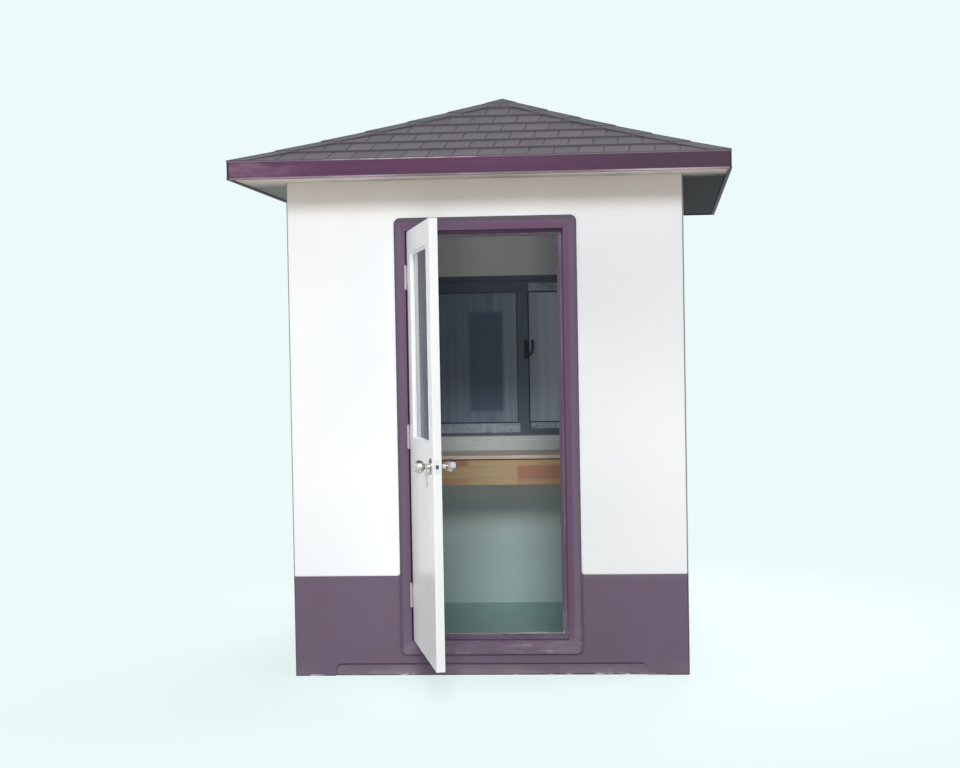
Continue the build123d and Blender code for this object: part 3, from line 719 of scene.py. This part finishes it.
def boardWood(name, role):
    # glued staves along X: three unequal rows on the apron, narrow ones on the top
    place = startFinish(name)
    x, y, z = place.parts("XYZ")
    low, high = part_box("desk_apron")
    row = (y / board["topRow"]).math("FLOOR")
    if role == "apron":
        down = (high.z - z) / (high.z - low.z)
        row = sum(down.rise(share - 0.004, share + 0.004) for share in board["apronRows"])
    along = (x + 2.0) / board["stave"] + (row * 3.7 + board["starts"][role]).scatter()
    cell = along.math("FLOOR") * 1.31 + row * 7.7
    glue = abs(along.math("FRACT") - 0.5).rise(0.4975, 0.499)
    if role == "top":
        pick = cell.scatter()
    else:
        onRight = x.rise(-0.0005, 0.0005)
        wideRow = row.math("COMPARE", 1.0, 0.5)
        ends = x.rise(*board["redEnds"]) * (1 - wideRow) * 0.6
        redder = onRight * (0.3 + row * 0.04 + wideRow * 0.36) + (1 - onRight) * ends
        pick = (cell + onRight * 3.3).scatter() * 0.3 + redder
        for share in board["apronRows"]:
            glue = glue.larger(abs(down - share).rise(0.010, 0.004) * 0.8)
    slid = {"X": x * 1.3 + pick * 7.0, "Y": y * 22.0 + pick * 3.0, "Z": z * 22.0}
    slide = place.node("CombineXYZ", {}, slid)
    figure = slide.noise(3.2, 4, 0.55)
    pores = slide.stretch(2.2, 9, 9).noise(7.0, 3, 0.6)
    colour = pick.rise(0.20, 0.50).blend(board["pale"], board["honey"])
    colour = pick.rise(0.58, 0.80).blend(colour, board["red"])
    colour = (figure.rise(0.35, 0.7) * 0.3).blend(colour, board["red"])
    colour = (pores.rise(0.52, 0.75) * 0.3).blend(colour, board["glue"])
    colour = (glue * 0.5).blend(colour, board["glue"])
    if role == "top":
        # dust, and a painted sheen of the wall's reflection, on the top
        dusty = place.noise(6, 4, 0.6).rise(0.3, 0.7) * 0.3 + 0.55
        colour = dusty.blend(colour, board["dust"])
    else:
        # painted shadow under the top's overhang, in the glue colour
        underTop = (high.z - z).rise(*board["underTop"])
        colour = (underTop * 0.9).blend(colour, board["glue"])
    return endFinish(place, {
        "Base Color": colour,
        "Roughness": 0.45 + pores * 0.15,
        "Specular IOR Level": 0.35,
        "Normal": pores.bump(0.18, 0.0006),
    })


leaf = {
    "white": rgb(250, 253, 253),
    "lilac": rgb(242, 245, 250),
    "handled": rgb(222, 223, 225),
    "wornHeight": (0.40, 0.16),
}


def leafGelcoat():
    place = startFinish("leafWhite")
    wide = place.stretch(2, 2, 0.8).noise(2.0, 4)
    colour = wide.rise(0.35, 0.7).blend(leaf["white"], leaf["lilac"])
    scuffs = place.stretch(30, 30, 5).noise(1.0, 5, 0.65).rise(0.60, 0.72)
    worn = scuffs * (place.part("Z").rise(*leaf["wornHeight"]) * 0.15 + 0.03)
    peel = place.noise(240, 2).bump(0.10, 0.0006)
    return endFinish(place, {
        "Base Color": worn.blend(colour, leaf["handled"]),
        "Roughness": 0.26 + wide * 0.06 + worn * 0.1,
        "Specular IOR Level": 0.25,
        "Normal": place.noise(3.0, 2).bump(0.3, 0.003, peel),
    })


knob = {
    "bright": rgb(226, 216, 214),
    "dull": rgb(184, 178, 174),
    "mottle": rgb(112, 104, 100),
    "darkReflection": rgb(62, 60, 64),
    "handledBelow": (0.002, -0.012),
    "darkReflectionAbove": (0.014, 0.019),
}


def knobChrome():
    # rubbed dull below the knobs' axis; a painted dark reflection along the top
    place = startFinish("knobSteel")
    low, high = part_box("knob_outer")
    up = place.part("Z") - (low.z + high.z) / 2
    patchy = place.noise(55, 4, 0.6)
    colour = patchy.rise(0.4, 0.8).blend(knob["bright"], knob["dull"])
    handled = up.rise(*knob["handledBelow"]) * place.noise(110, 3, 0.6).rise(0.40, 0.62)
    colour = (handled * 0.75).blend(colour, knob["mottle"])
    # painted dark reflection along the top
    reflectedDark = up.rise(*knob["darkReflectionAbove"])
    return endFinish(place, {
        "Base Color": (reflectedDark * 0.85).blend(colour, knob["darkReflection"]),
        "Metallic": 0.9,
        "Roughness": 0.10 + patchy * 0.12 + handled * 0.15,
        "Normal": place.stretch(900, 900, 60).noise(1.0, 3).bump(0.05, 0.0002),
    })


latchBlack = {
    "tones": (rgb(26, 27, 31), rgb(44, 45, 50)),
    "noise": (40, 3),
    "mix": (0.4, 0.8),
    "grain": (600, 3),
    "roughness": (0.34, 0.1),
    "bump": (0.2, 0.0004),
}

bearerPine = {
    "tones": (rgb(190, 158, 116), rgb(150, 112, 76)),
    "stretch": (2, 2, 40),
    "noise": (2.0, 5, 0.6),
    "mix": (0.35, 0.7),
    "roughness": (0.55, 0.15),
    "bump": (0.3, 0.0008),
}

hingeSteel = {
    "tones": (rgb(186, 176, 182), rgb(156, 148, 152)),
    "noise": (130, 4, 0.6),
    "mix": (0.4, 0.7),
    "metallic": 0.4,
    "roughness": (0.38, 0.2),
    "bump": (0.15, 0.0004),
}

lockSteel = {
    "tones": (rgb(244, 244, 246), rgb(222, 222, 226)),
    "stretch": (500, 500, 18),
    "noise": (1.0, 4),
    "metallic": 0.35,
    "roughness": (0.26, 0.15),
    "bump": (0.12, 0.0002),
}

boltIron = {
    "tones": (rgb(64, 68, 72), rgb(92, 94, 98)),
    "noise": (300, 4),
    "mix": (0.35, 0.7),
    "metallic": 0.6,
    "roughness": (0.35, 0.2),
}

keyNickel = {
    "tones": (rgb(200, 198, 198), rgb(158, 156, 156)),
    "noise": (160, 4),
    "mix": (0.4, 0.7),
    "metallic": 0.7,
    "roughness": (0.30, 0.2),
}

print("finishes on the CAD nodes")
dress(wallGelcoat("doorWallGelcoat", "x"), "wall_front_left", "wall_front_right")
dress(wallGelcoat("doorWallGelcoatMiddle", "x"), "wall_front_sill", "wall_front_head", "wall_back")
dress(wallGelcoat("sideWallGelcoat", "y"), "wall_left", "wall_right")
dress(ceilingLining(), "ceiling_panel")
dress(floorGelcoat(), "floor_panel")
dress(roofMoulding("roofShell", "shell"), "roof_shell")
dress(roofMoulding("roofCaps", "caps"), "hip_caps", "crown_cap")
dress(fasciaPaint(), "fascia")
dress(surroundPaint(), "door_surround")
dress(soffitPaint(), "soffit_panel")
frameFinish = windowCoat()
latchFinish = plainFinish("latchBlack", latchBlack)
for side in windowSides:
    dress(frameFinish, f"window_frame_{side}", f"sash_inner_{side}", f"sash_outer_{side}")
    dress(windowPane(side), f"window_glass_{side}")
    dress(latchFinish, f"window_latch_{side}")
dress(boardWood("deskTopWood", "top"), "desk_top")
dress(boardWood("deskApronWood", "apron"), "desk_apron")
dress(plainFinish("bearerWood", bearerPine), "desk_bearers")
dress(leafGelcoat(), "door_leaf", "door_glazing_bead")
dress(doorPane(), "door_glass")
dress(plainFinish("hingeMetal", hingeSteel), "hinge_frame_plates", "hinge_leaf_plates")
dress(knobChrome(), "knob_roses", "knob_outer", "knob_inner")
lockFinish = plainFinish("lockPlate", lockSteel)
dress(lockFinish, "strike_plate", "latch_face_plate")
dress(plainFinish("boltDark", boltIron), "latch_bolt", "key_cylinder", "turn_button")
dress(plainFinish("keyMetal", keyNickel), "hanging_key")


# Added pieces

def addObject(name, data):
    made = bpy.data.objects.new(name, data)
    bpy.context.scene.collection.objects.link(made)
    return made


def meshObject(bm, name, material):
    mesh = bpy.data.meshes.new(name)
    bm.to_mesh(mesh)
    bm.free()
    mesh.materials.append(material)
    return addObject(name, mesh)


def pieceFrom(bm, name, material, body):
    piece = meshObject(bm, name, material)
    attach(piece, body)
    return piece


# Shingle tabs: each moulded course cut into tabs along the eave, lifted off the shell.
shingles = {
    "pitch": 0.108,
    "joint": 0.0045,
    "lift": 0.003,
    "edge": 0.0012,
    "smallest": 0.0006,
    "slopes": (0.8, 0.98),  # least and most that a course's face looks up
    "cutsEachWay": 10,
    "seed": 4,
}


def cutCourses(bm):
    # keeps the shell's courses and cuts across them, half a tab further on in every other one
    bmesh.ops.remove_doubles(bm, verts=bm.verts, dist=0.0001)
    bmesh.ops.dissolve_limit(bm, angle_limit=0.01, verts=bm.verts, edges=bm.edges)
    steep, flat = shingles["slopes"]
    others = [face for face in bm.faces if not steep < face.normal.z < flat]
    bmesh.ops.delete(bm, geom=others, context="FACES")
    strip = bm.faces.layers.int.new("strip")
    feet = sorted({round(min(vert.co.z for vert in face.verts), 3) for face in bm.faces})
    strips = []
    for face in bm.faces:
        foot = round(min(vert.co.z for vert in face.verts), 3)
        runsAlongX = abs(face.normal.y) > abs(face.normal.x)
        strips.append((Vector((1, 0, 0)) if runsAlongX else Vector((0, 1, 0)), feet.index(foot)))
        face[strip] = len(strips)
    for number, (along, course) in enumerate(strips, 1):
        shift = shingles["pitch"] * (course % 2) / 2
        for step in range(-shingles["cutsEachWay"], shingles["cutsEachWay"] + 1):
            faces = [face for face in bm.faces if face[strip] == number]
            edges = {edge for face in faces for edge in face.edges}
            verts = {vert for face in faces for vert in face.verts}
            place = along * (step * shingles["pitch"] + shift)
            bmesh.ops.bisect_plane(
                bm, geom=[*faces, *edges, *verts], plane_co=place, plane_no=along)


def raiseTabs(bm):
    # shrinks each tab by half a joint and makes it a low block with an eased top edge
    bmesh.ops.split_edges(bm, edges=bm.edges)
    rims = bmesh.ops.inset_individual(
        bm, faces=bm.faces, thickness=shingles["joint"] / 2, use_even_offset=True)["faces"]
    bmesh.ops.delete(bm, geom=rims, context="FACES")
    bm.normal_update()
    least = shingles["smallest"]
    steep = shingles["slopes"][0]
    slivers = [face for face in bm.faces if face.calc_area() < least or face.normal.z < steep]
    bmesh.ops.delete(bm, geom=slivers, context="FACES")
    tops = bmesh.ops.extrude_discrete_faces(bm, faces=bm.faces)["faces"]
    for top in tops:
        bmesh.ops.translate(bm, verts=top.verts, vec=top.normal * shingles["lift"])
    bmesh.ops.holes_fill(bm, edges=[edge for edge in bm.edges if edge.is_boundary])
    edges = {edge for top in tops for edge in top.edges}
    bmesh.ops.bevel(
        bm, geom=list(edges), offset=shingles["edge"], affect="EDGES", segments=1,
        profile=0.5, material=-1)
    bmesh.ops.recalc_face_normals(bm, faces=bm.faces)
    for vert in bm.verts:
        vert.co.x = min(max(vert.co.x, -eaveReach), eaveReach)
        vert.co.y = min(max(vert.co.y, -eaveReach), eaveReach)


def shadeTabs(piece):
    # one random shade for the faces of each tab
    draw = random.Random(shingles["seed"])
    shade = piece.data.attributes.new("tabShade", "FLOAT", "FACE")
    tones = {}
    for polygon in piece.data.polygons:
        middle = polygon.center / shingles["pitch"] * 2
        spot = (round(middle.x), round(middle.y), round(middle.z * 2))
        tones.setdefault(spot, draw.random())
        shade.data[polygon.index].value = tones[spot]


def makeShingleTabs():
    bm = bmesh.new()
    bm.from_mesh(nodes["roof_shell"].data)
    cutCourses(bm)
    raiseTabs(bm)
    piece = pieceFrom(bm, "shingleTabs", roofMoulding("roofTabs", "tabs"), "booth")
    shadeTabs(piece)
    print("shingle tabs:", len(piece.data.polygons), "faces")


makeShingleTabs()


def windowPieces(name, material, build):
    # built for the back window, then turned onto each wall that has one
    pieces = []
    for side, turn in windowSides.items():
        bm = bmesh.new()
        build(bm)
        turned = Matrix.Rotation(math.radians(turn), 3, "Z")
        bmesh.ops.rotate(bm, verts=bm.verts, cent=(0, 0, 0), matrix=turned)
        pieces.append(pieceFrom(bm, f"{name}_{side}", material, "booth"))
    return pieces


def ring(bm, low, high, face, bead, way):
    # a rectangular bead from low to high (X and Z) that stands out from y = face
    spots = [(low[0], low[1]), (high[0], low[1]), (high[0], high[1]), (low[0], high[1])]
    middle = bm.faces.new([bm.verts.new((x, face, z)) for x, z in spots])
    middle.normal_update()
    band = bmesh.ops.inset_region(
        bm, faces=[middle], thickness=bead["width"], use_even_offset=True,
        use_boundary=True)["faces"]
    bmesh.ops.delete(bm, geom=[middle], context="FACES_ONLY")
    lifted = bmesh.ops.extrude_face_region(bm, geom=band, use_keep_orig=True)["geom"]
    tops = [part for part in lifted if isinstance(part, bmesh.types.BMVert)]
    bmesh.ops.translate(bm, verts=tops, vec=(0, way * bead["stand"], 0))
    bmesh.ops.recalc_face_normals(bm, faces=bm.faces)


# Window gaskets: black rubber beads round both faces of each pane.
gasket = {
    "width": 0.004,
    "stand": 0.0022,
    "rail": 0.060,
    "pane": 0.005,
    "rubber": {
        "tones": (rgb(22, 22, 24), rgb(44, 44, 46)),
        "noise": (30, 3),
        "grain": (500, 2),
        "roughness": (0.55, 0.2),
        "bump": (0.2, 0.0003),
    },
}


def buildGaskets(bm):
    rail = gasket["rail"]
    for sash in ("inner", "outer"):
        low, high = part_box(f"sash_{sash}_back")
        for way in (-1, 1):
            face = (low.y + high.y) / 2 + way * gasket["pane"] / 2
            ring(
                bm, (low.x + rail, low.z + rail), (high.x - rail, high.z - rail),
                face, gasket, way)


rubber = plainFinish("gasketRubber", gasket["rubber"])
windowPieces("paneGaskets", rubber, buildGaskets)
print("window gaskets")


# Sealant: a white bead between each window frame and the wall, indoors and out.
sealant = {
    "width": 0.007,
    "stand": 0.0022,
    "white": {
        "tones": (rgb(236, 236, 234), rgb(204, 204, 200)),
        "noise": (24, 4, 0.6),
        "mix": (0.35, 0.7),
        "roughness": (0.45, 0.15),
        "bump": (0.3, 0.001),
    },
}


def buildSealant(bm):
    low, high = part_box("window_frame_back")
    indoors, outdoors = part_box("wall_back")
    wide = sealant["width"]
    for face, way in ((outdoors.y, 1), (indoors.y, -1)):
        ring(
            bm, (low.x - wide, low.z - wide), (high.x + wide, high.z + wide),
            face, sealant, way)


sealantFinish = plainFinish("sealantWhite", sealant["white"])
windowPieces("frameSealant", sealantFinish, buildSealant)
print("window sealant")


# Weather strip: a soft lilac-grey bead on the door stop.
weather = {
    "inset": 0.010,
    "width": 0.008,
    "stand": 0.003,
    "stopDepth": 0.040,
    "rubber": {
        "tones": (rgb(112, 106, 120), rgb(88, 80, 94)),
        "stretch": (30, 30, 4),
        "noise": (1.0, 4, 0.6),
        "mix": (0.35, 0.7),
        "roughness": (0.6, 0.2),
        "bump": (0.2, 0.0006),
    },
}


def makeWeatherStrip():
    bm = bmesh.new()
    inset = weather["inset"]
    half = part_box("strike_plate")[0].x - inset
    low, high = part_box("door_leaf")
    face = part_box("door_surround")[0].y + weather["stopDepth"]
    ring(bm, (-half, low.z + inset), (half, high.z - inset), face, weather, -1)
    finish = plainFinish("stripRubber", weather["rubber"])
    pieceFrom(bm, "weatherStrip", finish, "booth")


makeWeatherStrip()
print("weather strip")


# Screws: slotted heads in the latch face plate, the strike plate and the hinges.
screws = {
    "radius": 0.0036,
    "taper": 0.8,
    "segments": 14,
    "stand": 0.0004,
    "slot": 0.0009,
    "slotDepth": 0.8,  # share of the head's stand
    "plateEnd": 0.006,  # in from the end of a latch or strike plate
    "latchFace": 0.001,  # out from the middle of the latch plate
    "hingeEnd": 0.054,  # half a hinge's height
    "hingePitch": 0.034,
    "hingeFace": 0.0007,  # from the pin's axis to a plate's face
    "frameColumn": 0.012,  # in from the frame plate's edge
    "leafColumn": 0.023,  # from the pin's axis
}


def screwHead(bm, place, facing):
    # a low dome with a slot, sunk into the plate behind it
    depth = screws["stand"] * 4
    verts = bmesh.ops.create_cone(
        bm, cap_ends=True, segments=screws["segments"], radius1=screws["radius"],
        radius2=screws["radius"] * screws["taper"], depth=depth)["verts"]
    faces = {face for vert in verts for face in vert.link_faces}
    top = max(faces, key=lambda face: face.calc_center_median().z)
    slot = bmesh.ops.inset_region(bm, faces=[top], thickness=screws["slot"])["faces"]
    sunk = -screws["stand"] * screws["slotDepth"]
    bmesh.ops.translate(bm, verts=top.verts, vec=(0, 0, sunk))
    verts = list({vert for face in [top, *slot] for vert in face.verts} | set(verts))
    turn = Vector(facing).to_track_quat("Z", "Y").to_matrix().to_4x4()
    seat = Vector(place) + Vector(facing) * (screws["stand"] - depth / 2)
    bmesh.ops.transform(bm, matrix=Matrix.Translation(seat) @ turn, verts=verts)


def makeScrews(metal):
    joints = {joint["name"]: joint for joint in frame["record"]["behaviour"]["joints"]}
    pin = Vector(joints["door_hinge"]["pos_m"])
    out = Vector(joints["knob_turn"]["axis"])
    along = Vector((-out.y, out.x, 0))
    onDoor = bmesh.new()
    onBooth = bmesh.new()
    low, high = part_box("latch_face_plate")
    face = (low + high) / 2 + along * screws["latchFace"]
    for way in (-1, 1):
        up = way * ((high.z - low.z) / 2 - screws["plateEnd"])
        screwHead(onDoor, face + Vector((0, 0, up)), along)
    low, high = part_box("strike_plate")
    for height in (low.z + screws["plateEnd"], high.z - screws["plateEnd"]):
        screwHead(onBooth, (low.x, (low.y + high.y) / 2, height), (-1, 0, 0))
    low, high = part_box("hinge_frame_plates")
    frameSpot = Vector((pin.x - screws["hingeFace"], high.y - screws["frameColumn"], 0))
    leafSpot = pin + along * screws["hingeFace"] - out * screws["leafColumn"]
    for hinge in (low.z + screws["hingeEnd"], pin.z, high.z - screws["hingeEnd"]):
        for step in (-1, 0, 1):
            height = hinge + step * screws["hingePitch"]
            screwHead(onBooth, (frameSpot.x, frameSpot.y, height), (1, 0, 0))
            screwHead(onDoor, (leafSpot.x, leafSpot.y, height), -along)
    pieceFrom(onDoor, "leafScrews", metal, "door")
    pieceFrom(onBooth, "frameScrews", metal, "booth")


makeScrews(lockFinish)
print("screws")


# Guard film: clear strips still on the sash rails, a little loose and wrinkled.
film = {
    "cloud": (rgb(202, 214, 230), rgb(178, 190, 206)),
    "crease": rgb(214, 220, 230),
    "fold": rgb(228, 236, 246),
    "ruck": rgb(112, 120, 138),
    "wrinkle": 0.0009,
    "ripple": 0.4,  # share of the wrinkle at three times its pace
    "pace": (26, 55),
    "lift": 0.0016,
    "cell": 0.006,
    # sash; in from its left and right; up from its foot or, where negative, down from its head
    "strips": [
        ("inner", 0.012, 0.050, 0.006, 0.057),
        ("outer", 0.070, 0.012, 0.026, 0.058),
        ("outer", 0.064, 0.012, -0.056, -0.010),
    ],
}


def guardFilm():
    place = startFinish("guardFilm")
    crease = place.stretch(18, 18, 60).noise(1.0, 4, 0.6)
    cloud = place.stretch(6, 6, 9).noise(1.0, 3)
    colour = cloud.rise(0.35, 0.7).blend(*film["cloud"])
    colour = (crease.rise(0.58, 0.68) * 0.5).blend(colour, film["crease"])
    folds = place.stretch(45, 45, 2).noise(1.0, 3).rise(0.58, 0.66)
    colour = (folds * 0.45).blend(colour, film["fold"])
    rucks = place.stretch(6, 6, 120).noise(1.0, 3).rise(0.60, 0.66)
    rucks = rucks.larger(crease.rise(0.41, 0.35))
    return endFinish(place, {
        "Base Color": (rucks * 0.6).blend(colour, film["ruck"]),
        "Roughness": 0.22 + crease * 0.2,
        "Alpha": 0.66 + cloud * 0.25,
        "Normal": crease.bump(0.6, 0.001),
    })


def filmStrip(bm, left, right, foot, head, face, seed):
    # faces into the room, towards -Y at the back wall
    columns = max(4, int((right - left) / film["cell"]))
    rows = max(3, int((head - foot) / film["cell"]))
    middle = Vector(((left + right) / 2, face - film["lift"], (foot + head) / 2))
    upright = Matrix.Translation(middle) @ Matrix.Rotation(math.radians(90), 4, "X")
    size = Matrix.Diagonal(((right - left) / 2, (head - foot) / 2, 1, 1))
    sheet = bmesh.ops.create_grid(
        bm, x_segments=columns, y_segments=rows, size=1, matrix=upright @ size)["verts"]
    across, up = film["pace"]
    for vert in sheet:
        spot = Vector((vert.co.x * across, seed, vert.co.z * up))
        ripple = noise.noise(spot * 3) * film["wrinkle"] * film["ripple"]
        vert.co.y += noise.noise(spot) * film["wrinkle"] + ripple


def buildFilm(bm):
    for number, (sash, left, right, foot, head) in enumerate(film["strips"], 1):
        low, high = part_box(f"sash_{sash}_back")
        level = low.z if foot > 0 else high.z
        filmStrip(bm, low.x + left, high.x - right, level + foot, level + head, low.y, number)


for piece in windowPieces("guardFilm", guardFilm(), buildFilm):
    for polygon in piece.data.polygons:
        polygon.use_smooth = True
print("guard film on the sashes")


# Studio

# A lamp's row: azimuth, elevation, distance, size, and the share of a white wall's brightness
# that it gives on the door wall or, from behind, on the back wall.
studio = {
    "background": (0.839, 0.956, 0.956, 1.0),
    "ground": (0.50, 0.46, 0.42, 1.0),
    "ambient": (1.0, 0.97, 0.93, 1.0),
    "ambientStrength": 0.035,
    "lamps": {
        "keyLamp": (7, 30.5, 20.0, 5.0, 0.48),
        "sideLamp": (-52, 14, 12.0, 4.5, 0.095),
        "leftLamp": (-80, -1, 8.0, 2.0, 0.026),
        "frontLamp": (7.5, -3.5, 6.4, 1.3, 0.205),
        "rightLamp": (104, 18, 9.0, 3.5, 0.10),
        "leftRearLamp": (-103, -2, 9.0, 1.8, 0.022),
        "backLamp": (170, 28, 10.0, 4.0, 0.42),
    },
    "mirrored": ["keyLamp"],
    "aim": (0, -0.9, 1.3),
    "floorHalf": 40,
    "shadowReach": (1.5, 3.2),
    "shadowShare": 0.35,
    "shadowLift": 1.16,
}


def seenDirectly(place):
    kinds = ("Camera", "Glossy", "Transmission")
    camera, glossy, through = (place.node("LightPath", output=f"Is {kind} Ray") for kind in kinds)
    return camera.larger(glossy).larger(through)


def makeWorld():
    # the plain backdrop for what is seen, a faint warm light for the rest
    world = bpy.data.worlds.new("studioWorld")
    bpy.context.scene.world = world
    place = startNodes(world)
    dim = {"Color": studio["ambient"], "Strength": studio["ambientStrength"]}
    lit = place.node("Background", {}, dim)
    seen = place.node("Background", {}, {"Color": studio["background"], "Strength": 1.0})
    both = place.node("MixShader", {}, {0: seenDirectly(place), 1: lit, 2: seen})
    place.node("OutputWorld", {}, {"Surface": both})


def groundFinish():
    # a soft shadow round the booth that fades into the backdrop
    place = startFinish("studioFloor")
    backdrop = studio["background"]
    away = distance(*place.parts("XY")).rise(*studio["shadowReach"])
    pale = place.node("BsdfDiffuse", {}, {"Color": backdrop})
    ground = place.node("BsdfDiffuse", {}, {"Color": studio["ground"]})
    plain = place.node("Emission", {}, {"Color": backdrop, "Strength": 1.0})
    lifted = place.node("Emission", {}, {"Color": backdrop, "Strength": studio["shadowLift"]})
    near = place.node("MixShader", {}, {0: studio["shadowShare"], 1: lifted, 2: pale})
    shown = place.node("MixShader", {}, {0: away, 1: near, 2: plain})
    surface = place.node("MixShader", {}, {0: seenDirectly(place), 1: ground, 2: shown})
    place.node("OutputMaterial", {}, {"Surface": surface})
    return place.owner


def makeFloor():
    bm = bmesh.new()
    bmesh.ops.create_grid(bm, x_segments=4, y_segments=4, size=studio["floorHalf"])
    floor = meshObject(bm, "studioFloor", groundFinish())


def makeLamp(name, azimuth, elevation, away, size, share):
    turn = math.radians(azimuth)
    lift = math.radians(elevation)
    facing = math.cos(turn) * math.cos(lift)
    out = Vector((math.sin(turn) * math.cos(lift), -facing, math.sin(lift)))
    light = bpy.data.lights.new(name, "AREA")
    light.shape = "SQUARE"
    light.size = size
    light.energy = abs(share * (math.pi * away) ** 2 / facing)
    lamp = addObject(name, light)
    lamp.location = Vector(studio["aim"]) + out * away
    lamp.rotation_mode = "QUATERNION"
    lamp.rotation_quaternion = (-out).to_track_quat("-Z", "Y")
    lamp.visible_glossy = name in studio["mirrored"]


makeWorld()
makeFloor()
for name, row in studio["lamps"].items():
    makeLamp(name, *row)
print("studio")


# Camera

shot = {
    "place": (0.7778, -7.2716, 1.4361),
    "yaw": 0.0586,
    "pitch": -0.0239,
    "roll": 0.0161,
    "sensor": 36,
    "lens": 54.81,
    "shiftX": -0.1016,
    "farthest": 200,
}


def makeCamera():
    lens = bpy.data.cameras.new("boothCamera")
    lens.sensor_width = shot["sensor"]
    lens.lens = shot["lens"]
    lens.shift_x = shot["shiftX"]
    lens.clip_end = shot["farthest"]
    camera = addObject("boothCamera", lens)
    turn = Matrix.Rotation(shot["yaw"], 4, "Z") @ Matrix.Rotation(shot["pitch"], 4, "X")
    turn = turn @ Matrix.Rotation(shot["roll"], 4, "Y") @ Matrix.Rotation(math.radians(90), 4, "X")
    camera.matrix_world = Matrix.Translation(shot["place"]) @ turn
    bpy.context.scene.camera = camera


makeCamera()
bpy.context.scene.view_settings.view_transform = "Standard"
